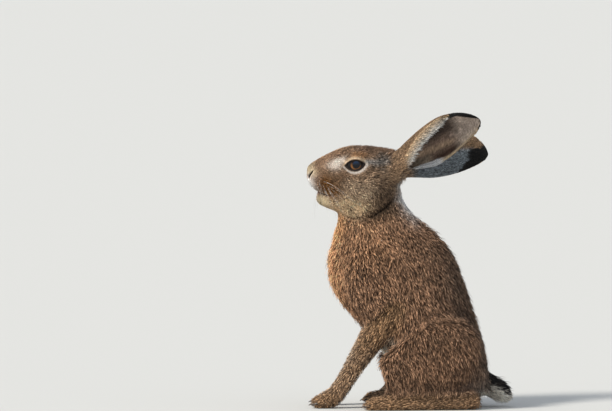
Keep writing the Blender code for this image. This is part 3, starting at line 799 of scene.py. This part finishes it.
hair[:, 1] *= 0.55 + 0.45 * smoothstep(0.9, 6, off_nostril)
bare = (off_lid < 1.9) | (off_nostril < 0.9) | (off_mouth < 0.8) | (cleft > 0.5)
wanted = 1.0 - bare

tri_wanted = (wanted[corner].min(axis=1) > 0.5).astype(float)
tri, weight = spread_roots(mesh, corner, np.round(hair[corner, 2].mean(1) * 4) / 4, tri_wanted)


def at_roots(values):
    return np.einsum("nk,nk...->n...", weight, values[corner[tri]])


root = at_roots(points)
root_share = at_roots(share)
root_belongs = {name: root_share[:, k] for k, name in enumerate(FLESH)}
root_normal = unit(at_roots(normals))
root_lie = at_roots(lie)
root_lie = unit(root_lie - root_normal * (root_lie * root_normal).sum(1, keepdims=True))
root_hair = at_roots(hair)
root_depth = at_roots(depth)
count = len(root)
turn = 0.20 * drift(root, 16, 5) + rng.normal(0, 0.16, count)
root_side = np.cross(root_normal, root_lie)
root_lie = root_lie * np.cos(turn)[:, None] + root_side * np.sin(turn)[:, None]
length = root_hair[:, 0] * (1 + 0.06 * drift(root, 22, 6)) * rng.uniform(0.75, 1.22, count)
width = root_hair[:, 1] * rng.uniform(0.75, 1.25, count)
lift = np.minimum(root_depth * rng.uniform(0.55, 1.30, count), 0.55 * length)
sway = length * rng.normal(0, 0.16, count)
base = eye_marks(root, coat_colour(root, root_normal, root_belongs))
base *= (1 + 0.16 * drift(root, 9, 7) + rng.normal(0, 0.10, count))[:, None]
kind = rng.choice([0, 1, 2], count, p=KINDS)
even_coat = np.maximum(smoothstep(0.34, 0.58, base.mean(1)), 0.45 * root_belongs["head"])
kind = np.where(rng.uniform(size=count) < even_coat, 0, kind)
fine = rng.uniform(size=count) < 0.18
length = np.where(fine, length * 1.30, length)
width = np.where(fine, width * 0.50, width)
lift = np.where(fine, lift * 1.45, lift)

label = np.argmax(root_share, axis=1)
names = np.array(FLESH)[label]
left = root[:, 1] < 0
of = {name: names == name for name in FLESH}
torso_back = of["torso"] & (root[:, 0] > 8 + 0.28 * (150 - root[:, 2]))


def both_sides(name, on_left, on_right, rings, origin, axis, slot):
    """A left and a right piece, their unwraps about axes that mirror each other; origin is the right's."""
    x, y, z = origin
    return [
        (name + "_left", on_left, rings, (x, -y, z), axis, slot),
        (name + "_right", on_right, rings, (x, y, z), axis, slot),
    ]


def legs_of(node):
    return of[node + "_left"], of[node + "_right"]


def halves(place):
    return place & left, place & ~left


flank = of["torso"] & ~torso_back
REGIONS = [
    *both_sides("fur_head", *halves(of["head"]), 2, (-60, 0, 262), (1, 0, 0.1), "coat_head"),
    ("fur_neck", of["neck"], 3, (-20, 0, 215), (0, 0, 1), "coat"),
    *both_sides("fur_flank", *halves(flank), 3, (0, 0, 150), (0, 0, 1), "coat"),
    *both_sides("fur_back", *halves(torso_back), 3, (0, 0, 150), (0, 0, 1), "coat"),
    *both_sides("fur_haunch", *legs_of("thigh"), 3, (20, 10, 50), (0, 0, 1), "coat"),
    *both_sides("fur_foreleg", *legs_of("foreleg"), 2, (-50, 41, 60), (-0.5, 0, -1), "coat_legs"),
    *both_sides("fur_foot", *legs_of("hind_foot"), 2, (0, 57, 8), (-1, 0, 0), "coat_legs"),
    ("fur_tail", of["tail"], 3, (95, 0, 30), (1, 0, -0.35), "tail"),
]
for name, here, rings, origin, axis, slot in REGIONS:
    ring_places = LONG_RINGS if rings == 3 else SHORT_RINGS
    values = [v[here] for v in (root, root_normal, root_lie, length, width, lift, sway)]
    blades = blade_points(*values, ring_places)
    spots = unwrapped(root[here], origin, axis)
    fur_piece(name, blades, blade_colours(base[here], kind[here], rings), spots, rings)


# The ears: thin cupped shells of skin, rolled into a tube at the root, whose front margin turns in
# over the hollow. Outside they carry short ticked fur with a black tip; inside they are nearly bare,
# with a cream fringe along the front margin and a narrow pale rim behind.
EAR_ROWS = [
    # share of the length, width to the front bend and to the back edge, turn to each in degrees, and
    # the turn of the front margin past its bend
    (-0.14, 15.0, 15.0, 152, 150, 20),
    (-0.04, 27.0, 24.0, 152, 150, 26),
    (0.02, 33.0, 27.5, 148, 146, 36),
    (0.10, 35.0, 26.0, 134, 128, 52),
    (0.22, 37.5, 26.5, 110, 100, 70),
    (0.36, 38.5, 28.5, 90, 82, 84),
    (0.52, 37.3, 26.2, 74, 70, 90),
    (0.66, 34.5, 21.6, 64, 60, 84),
    (0.79, 27.5, 16.5, 56, 52, 66),
    (0.88, 19.8, 12.3, 50, 46, 48),
    (0.94, 13.0, 8.6, 46, 42, 36),
    (0.975, 8.2, 6.0, 43, 40, 28),
    (0.993, 4.4, 3.6, 41, 38, 24),
    (1.00, 1.4, 1.4, 40, 36, 24),
]
EAR_MARGIN = 0.42
EAR_ROOT_DEPTH = 11.2
EAR_WALL = 1.5
EAR_HOLLOW = (0.20, 0.135, 0.100)
EAR_BROWN = (0.26, 0.165, 0.095)
EAR_CREAM = (0.66, 0.50, 0.33)
EAR_BLACK = (0.004, 0.004, 0.004)
EAR_FUR, EAR_FRINGE, EAR_RIM, HOLLOW_HAIRS = 9400, 2600, 1500, 900


def through(rows, places):
    """Values at fractional row numbers, on a smooth curve through the rows (Catmull-Rom)."""
    rows = np.asarray(rows, float)
    padded = np.concatenate([[2 * rows[0] - rows[1]], rows, [2 * rows[-1] - rows[-2]]])
    places = np.clip(places, 0, len(rows) - 1 - 1e-9)
    i = places.astype(int)
    t = (places - i)[..., None]
    a, b, c, d = padded[i], padded[i + 1], padded[i + 2], padded[i + 3]
    return 0.5 * (2 * b + (c - a) * t + (2 * a - 5 * b + 4 * c - d) * t**2 + (3 * b - a - 3 * c + d) * t**3)


def ear_rows_at(share):
    """The ear's two widths, two turns and margin turn at these shares of its length."""
    table = through(EAR_ROWS, np.linspace(0, len(EAR_ROWS) - 1, 400))
    return [np.interp(share, table[:, 0], table[:, k]) for k in range(1, 6)]


def ear_point(name, share, v, inner):
    """The ear's surface: v goes from -1 at the back edge to 1 at the front bend and on to the rolled
    margin's edge; inner is 1 on the face of the hollow and -1 on the outer face."""
    root, tip, mouth, bow, front = EARS[name]
    root, tip = np.array(root, float), np.array(tip, float)
    along = unit(tip - root)
    mouth = np.array(mouth)
    mouth = unit(mouth - along * (mouth @ along))
    across = np.cross(along, mouth) * front
    to_front, to_back, front_turn, back_turn, roll = ear_rows_at(share)
    half = np.where(v > 0, to_front, to_back)
    cup, roll = np.radians(np.where(v > 0, front_turn, back_turn)), np.radians(roll)
    radius = half / cup
    past = np.maximum(v - 1, 0) / EAR_MARGIN
    bend = half * EAR_MARGIN / np.maximum(roll, 1e-3)
    turn = cup * np.clip(v, -1.0, 1.0) + roll * past
    in_cup = cup * np.clip(v, -1.0, 1.0)
    sideways = radius * np.sin(in_cup) + bend * (np.sin(turn) - np.sin(in_cup))
    depth = radius * (1 - np.cos(in_cup)) + bend * (np.cos(in_cup) - np.cos(turn))
    inside = np.clip(share, 0, 1)
    depth = depth - EAR_ROOT_DEPTH * (1 - 0.7 * inside) - bow * np.sin(math.pi * inside)
    wall = EAR_WALL / 2 * np.clip((1.02 - share) * 14, 0.25, 1)
    wall = wall * (1 - 0.45 * np.clip(np.abs(v) - 0.7, 0, 0.6) / 0.6)
    sideways = sideways - inner * wall * np.sin(turn)
    depth = depth + inner * wall * np.cos(turn)
    reach = share * np.linalg.norm(tip - root)
    spot = along * reach[..., None] + across * sideways[..., None] + mouth * depth[..., None]
    return root + spot


def ear_colour(name, share, v, inner, p):
    """Hollow or outer face, black tip, cream along the front margin, pale back edge. The hollow is
    painted darker behind the front margin as shade, a pale patch near the back edge towards the tip is
    painted light, and the outer face's grey is painted darker and bluish as shade under a blue sky.
    """
    outside = inner < 0

    def laid(colour, weight, over):
        return colour + np.asarray(weight)[..., None] * (np.asarray(over) - colour)

    def band(value, centre, width):
        return np.exp(-(((value - centre) / width) ** 2))

    colour = np.broadcast_to(np.array(EAR_HOLLOW), p.shape)
    colour = laid(colour, smoothstep(0.55, 0.80, share), (0.40, 0.32, 0.265))
    # painted shade: the hollow goes near black behind the front margin, where the rolled margin shades it
    front = smoothstep(-0.12, 0.22, v) * (1 - smoothstep(0.66, 0.82, share))
    colour = laid(colour, 0.94 * front, (0.040, 0.026, 0.020))
    streak = band(v + 0.18 + 0.45 * (share - 0.20), 0, 0.13) * smoothstep(0.08, 0.16, share)
    streak = streak * (1 - smoothstep(0.55, 0.72, share))
    colour = laid(colour, 0.9 * streak, (0.46, 0.32, 0.215))
    low = band(v, -0.74, 0.19) * smoothstep(0.30, 0.42, share) * (1 - smoothstep(0.60, 0.74, share))
    colour = laid(colour, 0.92 * low, (0.060, 0.030, 0.020))
    root_fold = smoothstep(-0.25, -0.5, v) * smoothstep(0.08, 0.16, share)
    root_fold = root_fold * (1 - smoothstep(0.28, 0.38, share))
    colour = laid(colour, 0.8 * root_fold, (0.40, 0.32, 0.235))
    lit = smoothstep(-0.30, -0.85, v) * smoothstep(0.58, 0.76, share)
    colour = laid(colour, 0.7 * lit, (0.60, 0.48, 0.37))
    stripes = 1 + 0.22 * np.sin(v * 34 + 3 * drift(p, 14, 37)) * (1 - smoothstep(0.75, 0.95, share))
    colour = colour * stripes[..., None]

    back = np.broadcast_to(np.array(EAR_BROWN), p.shape)
    # the outer face's grey-white fur, painted darker and bluish as shade under a blue sky
    back = laid(back, smoothstep(0.55, 0.30, v), (0.17, 0.195, 0.215))
    back = laid(back, smoothstep(-0.55, -0.9, v), (0.26, 0.29, 0.32))
    back = laid(back, 1 - smoothstep(0.02, 0.20, share), (0.33, 0.215, 0.130))
    colour = np.where(outside[..., None], back, colour)

    furred = smoothstep(0.12, 0.20, share)
    rim_white = smoothstep(0.13, 0.19, share) * (1 - smoothstep(0.38, 0.50, share))
    rim = np.array(EAR_CREAM) + rim_white[..., None] * (np.array((1.0, 1.0, 1.0)) - EAR_CREAM)
    wide = 0.15 * rim_white
    colour = laid(colour, smoothstep(wide - 0.86, wide - 0.95, v) * furred, rim)
    lip = smoothstep(1.18, 1.32, v + 0.04 * drift(p, 6, 35)) * smoothstep(0.06, 0.14, share)
    fringe = np.broadcast_to(np.array((0.66, 0.45, 0.24)), p.shape)
    fringe = laid(fringe, smoothstep(1.30, 1.40, v), (0.90, 0.86, 0.80))
    colour = laid(colour, lip, fringe)

    black_front = {"ear_left": 0.73, "ear_right": 0.93}[name]
    outer_from = 0.60 + 0.15 * smoothstep(-0.9, 0.4, v) + 0.15 * smoothstep(0.35, 0.6, v)
    outer_from = outer_from + (black_front - outer_from) * smoothstep(0.65, 0.95, v)
    inner_from = 0.965 + (black_front - 0.965) * smoothstep(0.35, 0.95, v)
    black_from = np.where(outside, outer_from, inner_from)
    black_from = np.where((v < -0.8) & ~outside, 0.93, black_from)
    black = smoothstep(0.0, 0.045, share - black_from + 0.012 * drift(p, 5, 33))
    colour = laid(colour, black, EAR_BLACK)
    return colour * (1 + 0.13 * drift(p, 7, 31))[..., None]


def ear_shell(name):
    """Both faces of the ear on one grid that goes out along the inner face and back along the outer."""
    shares = np.concatenate([np.linspace(-0.14, 0.9, 60), 1 - 0.1 * np.linspace(1, 0, 15)[1:] ** 1.6])
    v = np.linspace(-1, 1 + EAR_MARGIN, 56)
    loop_v = np.concatenate([v, v[::-1]])
    loop_side = np.concatenate([np.ones(56), -np.ones(56)])
    share_grid, v_grid = np.meshgrid(shares, loop_v, indexing="ij")
    side_grid = np.broadcast_to(loop_side, share_grid.shape)
    grid = ear_point(name, share_grid, v_grid, side_grid)
    mesh = tube_mesh(name + "_shell", grid * MM)
    colour = ear_colour(name, share_grid, v_grid, side_grid, grid).reshape(-1, 3)
    ends = np.array([colour[0], colour[-1]])
    write_colour(mesh, "coat", np.concatenate([colour, ends]))
    mesh.materials.append(hide_material(name + "_skin", 0.7, 700.0, 0.5))
    mesh.shade_smooth()
    made = placed(name + "_shell", mesh)
    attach(made, "root")
    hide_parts(name)
    return made


def ear_hairs(name, share, v, inner, lean, length, width, lift, colours, kinds, rings=2):
    """Blades rooted on the ear: lean is the way they lie, as amounts along the ear and across it."""
    root = ear_point(name, share, v, inner)
    ahead = ear_point(name, share + 0.004, v, inner) - root
    aside = ear_point(name, share, v + 0.02, inner) - root
    normal = unit(np.cross(ahead, aside))
    middle = ear_point(name, share, v, -inner)
    normal *= np.sign(((root - middle) * normal).sum(1, keepdims=True))
    lie_here = unit(unit(ahead) * lean[:, :1] + unit(aside) * lean[:, 1:])
    lie_here = unit(lie_here - normal * (lie_here * normal).sum(1, keepdims=True))
    places = LONG_RINGS if rings == 3 else SHORT_RINGS
    sway = length * rng.normal(0, 0.12, len(root))
    blades = blade_points(root, normal, lie_here, length, width, lift, sway, places)
    return blades, blade_colours(colours, kinds, rings), root


for name in EARS:
    ear_shell(name)
    sets = []

    # short ticked fur over the outer face and the rolled margin, none past the black tip's edge
    many = EAR_FUR
    share_at = rng.uniform(-0.03, 0.965, many)
    v_at = rng.uniform(-1, 1 + EAR_MARGIN * 0.9, many)
    keep = rng.uniform(0, 38, many) < ear_rows_at(share_at)[0]
    share_at, v_at = share_at[keep], v_at[keep]
    count = len(share_at)
    side = -np.ones(count)
    spot = ear_point(name, share_at, v_at, side)
    tint = ear_colour(name, share_at, v_at, side, spot) * rng.uniform(0.78, 1.22, (count, 1))
    lean = np.stack([np.ones(count), rng.normal(0, 0.15, count) + 0.25 * np.clip(v_at, 0, 1)], 1)
    size = rng.uniform(2.6, 4.4, count) * (1 + 0.7 * (1 - smoothstep(0.0, 0.25, share_at)))
    size *= 1 - 0.5 * smoothstep(0.85, 0.96, share_at)
    kinds = rng.choice([0, 1, 2], count, p=[0.5, 0.28, 0.22])
    sets.append((share_at, v_at, side, lean, size, rng.uniform(0.5, 0.85, count), size * 0.12, tint, kinds))

    # the fringe that lies from the front margin over the hollow: tan at its roots, white at its tips
    many = EAR_FRINGE
    share_at = rng.uniform(0.05, 0.72, many)
    v_at = 1 + EAR_MARGIN * rng.uniform(0.35, 1.0, many)
    side = np.where(rng.uniform(size=many) < 0.6, -1.0, 1.0)
    fade = 1 - smoothstep(0.60, 0.72, share_at)
    inward = ((v_at - 1) / EAR_MARGIN)[:, None]
    tint = np.array((0.72, 0.48, 0.25)) * (1 - inward**2) + np.array((1.0, 0.97, 0.92)) * inward**2
    tint = tint * rng.uniform(0.5, 1.25, (many, 1)) * (0.2 + 0.8 * fade[:, None])
    tint = tint + (1 - smoothstep(0.08, 0.16, share_at))[:, None] * (np.array((0.33, 0.215, 0.13)) - tint)
    lean = np.stack([np.full(many, 0.90), np.full(many, 0.62)], 1) + rng.normal(0, 0.14, (many, 2))
    size = rng.uniform(4.0, 9.0, many) * (0.45 + 0.55 * fade) * smoothstep(-0.05, 0.16, share_at)
    kinds = rng.choice([0, 1], many, p=[0.85, 0.15])
    sets.append((share_at, v_at, side, lean, size, rng.uniform(0.4, 0.8, many), size * 0.12, tint, kinds))

    # the pale rim of the back edge, white and fuller near the root
    many = EAR_RIM
    near_root = rng.uniform(size=many) < 0.4
    share_at = np.where(near_root, rng.uniform(0.13, 0.42, many), rng.uniform(0.13, 0.96, many))
    v_at = rng.uniform(-1.0, -0.92, many)
    side = np.where(rng.uniform(size=many) < 0.5, -1.0, 1.0)
    white = 1 - smoothstep(0.36, 0.48, share_at)
    tint = np.array(EAR_CREAM) + white[:, None] * (np.array((1.0, 1.0, 1.0)) - EAR_CREAM)
    tint = tint * rng.uniform(0.9, 1.25, (many, 1))
    tint = np.where(share_at[:, None] > 0.92, np.array(EAR_BLACK), tint)
    lean = np.stack([np.full(many, 1.0), rng.normal(-0.25, 0.15, many) - 0.2 * white], 1)
    size = rng.uniform(2.0, 3.4, many) * (1 + 0.9 * white)
    none = np.zeros(many, int)
    sets.append((share_at, v_at, side, lean, size, rng.uniform(0.4, 0.7, many), size * 0.10, tint, none))

    # fine sparse hairs inside the hollow
    many = HOLLOW_HAIRS
    share_at = rng.uniform(0.05, 0.92, many)
    v_at = rng.uniform(-0.85, 0.95, many)
    side = np.ones(many)
    spot = ear_point(name, share_at, v_at, side)
    tint = ear_colour(name, share_at, v_at, side, spot) * rng.uniform(0.9, 1.5, (many, 1))
    lean = np.stack([np.ones(many), rng.normal(0, 0.2, many)], 1)
    size = rng.uniform(2.0, 4.0, many)
    none = np.zeros(many, int)
    sets.append((share_at, v_at, side, lean, size, rng.uniform(0.2, 0.35, many), size * 0.08, tint, none))

    made = [ear_hairs(name, *one) for one in sets]
    blades = np.concatenate([m[0] for m in made])
    tints = np.concatenate([m[1] for m in made])
    spots = np.concatenate([np.stack([s[0], s[1]], 1) for s in sets])
    spots = 0.01 + 0.975 * (spots - spots.min(0)) / np.ptp(spots, axis=0)
    fur_piece("fur_" + name, blades, tints, spots, 2)


# The eyes: dark wet balls with a wide black pupil and an amber iris that darkens to its rim. The iris is
# painted darker in its upper half as shade under the upper lid, and the pupil's upper part carries a
# painted bluish reflection of the sky.
PUPIL = 19.0
IRIS = 29.0


def eye_mesh(name, side):
    """Rings about the axis that looks out: points at each angle from it, with the cornea raised."""
    look = unit(np.array((0.12, side * 1.0, -0.14)))
    across = unit(np.cross((0.0, 0.0, 1.0), look))
    up = np.cross(look, across)
    angle = np.radians(np.concatenate([np.linspace(0.6, 60, 72), np.linspace(64, 176, 22)]))[:, None]
    turn = np.linspace(0, 2 * math.pi, 96, endpoint=False)[None, :]
    bulge = 0.55 * (1 - smoothstep(math.radians(20), math.radians(58), angle))
    radius = EYE_RADIUS - 0.12 + bulge
    direction = (
        look * np.cos(angle)[..., None]
        + across * (np.sin(angle) * np.cos(turn))[..., None]
        + up * (np.sin(angle) * np.sin(turn))[..., None]
    )
    mesh = tube_mesh(name, (EYE * (1, side, 1) + direction * radius[..., None]) * MM)
    degrees = np.degrees(angle) + 0 * turn
    streak = 0.5 + 0.5 * np.sin(turn * 37 + 2.2 * np.sin(turn * 11) + degrees * 0.12)
    streak = 0.6 * streak + 0.4 * (0.5 + 0.5 * np.sin(turn * 61 - degrees * 0.2))
    amber = np.array((0.23, 0.095, 0.026)) * (0.55 + 0.75 * streak[..., None])
    dark = np.array((0.045, 0.020, 0.008))
    colour = amber + smoothstep(25, 32, degrees)[..., None] * (dark - amber)
    # painted shade: the iris darkens towards its top, as under the upper lid
    low = np.clip(0.42 - 1.1 * np.sin(turn + 0.2), 0.05, 1)[..., None]
    colour = colour * low
    pupil = (1 - smoothstep(PUPIL - 1.0, PUPIL + 1.6, degrees))[..., None]
    # painted reflection: the pupil turns bluish towards its top, as a reflection of the sky
    painted_sky_reflection = np.clip(np.sin(turn) * angle / math.radians(PUPIL), 0, 1)[..., None]
    pupil_with_painted_reflection = np.array((0.003, 0.004, 0.007)) + painted_sky_reflection * np.array((0.012, 0.030, 0.070))
    colour = colour + pupil * (pupil_with_painted_reflection - colour)
    rim = smoothstep(IRIS - 1, IRIS + 3, degrees)[..., None]
    colour = colour + rim * (np.array((0.005, 0.003, 0.003)) - colour)
    flat = colour.reshape(-1, 3)
    write_colour(mesh, "coat", np.concatenate([flat, flat[:1], flat[-1:]]))
    return mesh


def eye_material():
    """Wet eye: a matt coloured ball under a clear glossy coat."""
    made, shader, _ = coat_material("wet_eye", 1600.0, (1.0, 1.0, 1.0), 2.0, (0.0, 1.0), (0.7, 1.3))
    shader.inputs["Roughness"].default_value = 0.35
    shader.inputs["Specular IOR Level"].default_value = 0.0
    shader.inputs["Coat Weight"].default_value = 1.0
    shader.inputs["Coat Roughness"].default_value = 0.04
    shader.inputs["Coat IOR"].default_value = 1.36
    return made


for side, name in ((-1, "eye_left"), (1, "eye_right")):
    ball = placed(name + "_ball", eye_mesh(name + "_ball", side))
    ball.data.materials.append(eye_material())
    ball.data.shade_smooth()
    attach(ball, "root")
    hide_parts(name)


# The whiskers: stiff tapered hairs, dark to white, rooted in rows on the pad beside the lip and
# curving out, back and down; two more stand over each eye.
def strand_rings(root, start, pull, length, radius, steps=9):
    """Rings of three points along curved hairs: each sets off along start, bends by pull as the square
    of the way along, and tapers to a point."""
    t = np.linspace(0, 1, steps)[None, :, None]
    path = root[:, None] + (start[:, None] * t + pull[:, None] * t**2) * length[:, None, None]
    tangent = unit(start[:, None] + 2 * pull[:, None] * t)
    side = unit(np.cross(tangent, (0.0, 0.0, 1.0)))
    up = np.cross(side, tangent)
    size = radius[:, None, None] * (1 - 0.88 * t**1.2)
    turn = np.arange(3) * 2 * math.pi / 3
    rings = [path + size * (side * math.cos(a) + up * math.sin(a)) for a in turn]
    return np.stack(rings, axis=2)


def strands_mesh(name, rings):
    """All the hairs as one mesh of closed three-sided tubes."""
    count, steps = rings.shape[:2]
    points = rings.reshape(-1, 3) * MM
    one = ring_faces(steps, 3)
    each = steps * 3
    walls = (np.arange(count)[:, None, None] * each + one[None]).reshape(-1, 4).tolist()
    first = np.arange(count)[:, None] * each
    caps = np.concatenate([first + [2, 1, 0], first + each - 3 + [0, 1, 2]]).tolist()
    mesh = bpy.data.meshes.new(name)
    mesh.from_pydata(points.tolist(), [], walls + caps)
    face_outward(mesh)
    return mesh


def plain_noise_material(name, low, high, scale, roughness):
    """Two tones of one colour mixed by fine noise along the piece."""
    made = bpy.data.materials.new(name)
    made.use_nodes = True
    tree = made.node_tree
    shader = tree.nodes["Principled BSDF"]
    shader.inputs["Roughness"].default_value = roughness
    place = tree.nodes.new("ShaderNodeTexCoord")
    noise = tree.nodes.new("ShaderNodeTexNoise")
    noise.inputs["Scale"].default_value = scale
    tree.links.new(place.outputs["Object"], noise.inputs["Vector"])
    ramp = tree.nodes.new("ShaderNodeValToRGB")
    ramp.color_ramp.elements[0].position = 0.35
    ramp.color_ramp.elements[1].position = 0.65
    ramp.color_ramp.elements[0].color = (*low, 1)
    ramp.color_ramp.elements[1].color = (*high, 1)
    tree.links.new(noise.outputs["Fac"], ramp.inputs["Fac"])
    tree.links.new(ramp.outputs["Color"], shader.inputs["Base Color"])
    return made


PAD_ROWS = [
    # x, y, z of the row's front root, hairs in it
    (-106, 10.5, 262, 4),
    (-107, 11.0, 258.5, 5),
    (-105, 11.0, 255, 5),
    (-104, 10.5, 251.5, 4),
]
WHISKER_RADIUS = 0.11
starts, pulls, spots, sizes = [], [], [], []
for side in (-1, 1):
    for row, (x, y, z, many) in enumerate(PAD_ROWS):
        for k in range(many):
            spots.append((x + 3.6 * k, y + 0.9 * k, z - 0.9 * k, side))
            forward, outward = rng.normal(0, 0.10), rng.normal(0, 0.12)
            starts.append((-0.16 + 0.16 * k + forward, 0.80 + outward, 0.02 - 0.20 * row))
            pulls.append((0.14 + 0.07 * k, -0.08, -0.36 - 0.05 * row + rng.normal(0, 0.08)))
            sizes.append(rng.uniform(22, 38) + 3.4 * k)
    for k in range(2):
        spots.append((-66 + 4 * k, 21, 292, side))
        starts.append((0.15, 0.55, 0.75))
        pulls.append((0.30, 0.10, -0.30))
        sizes.append(20.0)
spots, starts, pulls = np.array(spots), np.array(starts), np.array(pulls)
mirror = np.stack([np.ones(len(spots)), spots[:, 3], np.ones(len(spots))], axis=1)
target = spots[:, :3] * mirror
nearest = [int(np.argmin(((points - spot) ** 2).sum(1))) for spot in target]
hair_root = points[nearest] - normals[nearest] * 0.8
radius = np.full(len(spots), WHISKER_RADIUS)
rings = strand_rings(hair_root, unit(starts * mirror), pulls * mirror, np.array(sizes), radius)
whiskers = placed("whiskers", strands_mesh("whiskers", rings))
dark_hair, pale_hair = (0.16, 0.12, 0.09), (0.85, 0.80, 0.72)
whiskers.data.materials.append(
    plain_noise_material("whisker_hair", dark_hair, pale_hair, 160, 0.4)
)
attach(whiskers, "root")


# The claws: four on each foot, short curved cones of dark horn that just clear the fur of the toes.
def claw_rings(tip, middle, spread, height, size):
    """Rings of each claw on a foot: a cone that bends down as the square of the way along."""
    rows = []
    for place in np.linspace(-1, 1, 4):
        t = np.linspace(0, 1, 7)[:, None, None]
        turn = np.linspace(0, 2 * math.pi, 10, endpoint=False)[None, :, None]
        radius = size * 0.19 * (1 - 0.9 * t**1.3)
        x = tip + 3.5 * place**2 + 3.0 - size * t + 0 * turn
        y = middle + place * spread + radius * np.cos(turn) - 0.16 * place * size * t
        z = height + radius * 1.25 * np.sin(turn) - 0.30 * size * t**2
        rows.append(np.concatenate([x, y + 0 * x, z + 0 * x], axis=-1))
    return rows


claws = bmesh.new()
for side in (-1, 1):
    for tip, middle, spread, height, size in ((-112.0, 26, 8.0, 5.6, 7.5), (-51.5, 57, 10.0, 5.4, 8.5)):
        for rows in claw_rings(tip, middle, spread, height, size):
            claws.from_mesh(tube_mesh("claw", rows * (1, side, 1) * MM))
claw_mesh = bpy.data.meshes.new("claws")
claws.to_mesh(claw_mesh)
claws.free()
dark_horn, pale_horn = (0.020, 0.014, 0.011), (0.085, 0.060, 0.045)
claw_mesh.materials.append(plain_noise_material("horn", dark_horn, pale_horn, 420, 0.4))
claw_mesh.shade_smooth()
horn = placed("claws", claw_mesh)
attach(horn, "root")


# The floor and the light: a pale floor without an edge in view, a soft warm key from the upper left,
# and an even pale surround. The camera looks at the left side from far away and a little above, as a
# long lens does, and frames the animal as the photograph does.
FRAME_WIDTH = 0.7038
FRAME_CENTRE = Vector((-0.119, 0.0, 0.2317))
CAMERA_DISTANCE = 8.0
CAMERA_RISE = math.radians(2.5)
SENSOR = 36.0


def plain_material(name, colour, roughness):
    made = bpy.data.materials.new(name)
    made.use_nodes = True
    shader = made.node_tree.nodes["Principled BSDF"]
    shader.inputs["Base Color"].default_value = (*colour, 1.0)
    shader.inputs["Roughness"].default_value = roughness
    return made


shape = bmesh.new()
bmesh.ops.create_grid(shape, x_segments=1, y_segments=1, size=90.0)
floor_mesh = bpy.data.meshes.new("floor")
shape.to_mesh(floor_mesh)
shape.free()
floor_mesh.materials.append(plain_material("pale_floor", (0.62, 0.62, 0.60), 0.9))
floor = placed("floor", floor_mesh)

camera = placed("camera", bpy.data.cameras.new("camera"))
camera.data.sensor_width = SENSOR
camera.data.lens = SENSOR * CAMERA_DISTANCE / FRAME_WIDTH
camera.data.clip_end = 400.0
away = Vector((0.0, -math.cos(CAMERA_RISE), math.sin(CAMERA_RISE)))
camera.location = FRAME_CENTRE + away * CAMERA_DISTANCE
camera.rotation_euler = (-away).to_track_quat("-Z", "Y").to_euler()
bpy.context.scene.camera = camera

key = placed("key", bpy.data.lights.new("key", "SUN"))
key.data.energy = 3.6
key.data.angle = math.radians(14)
key.data.color = (1.0, 0.95, 0.87)
key.rotation_euler = Vector((0.80, 0.55, -0.80)).to_track_quat("-Z", "Y").to_euler()

world = bpy.data.worlds.new("surround")
world.use_nodes = True
world.node_tree.nodes["Background"].inputs["Color"].default_value = (0.86, 0.92, 1.0, 1.0)
world.node_tree.nodes["Background"].inputs["Strength"].default_value = 0.62
bpy.context.scene.world = world
bpy.context.scene.view_settings.view_transform = "Standard"
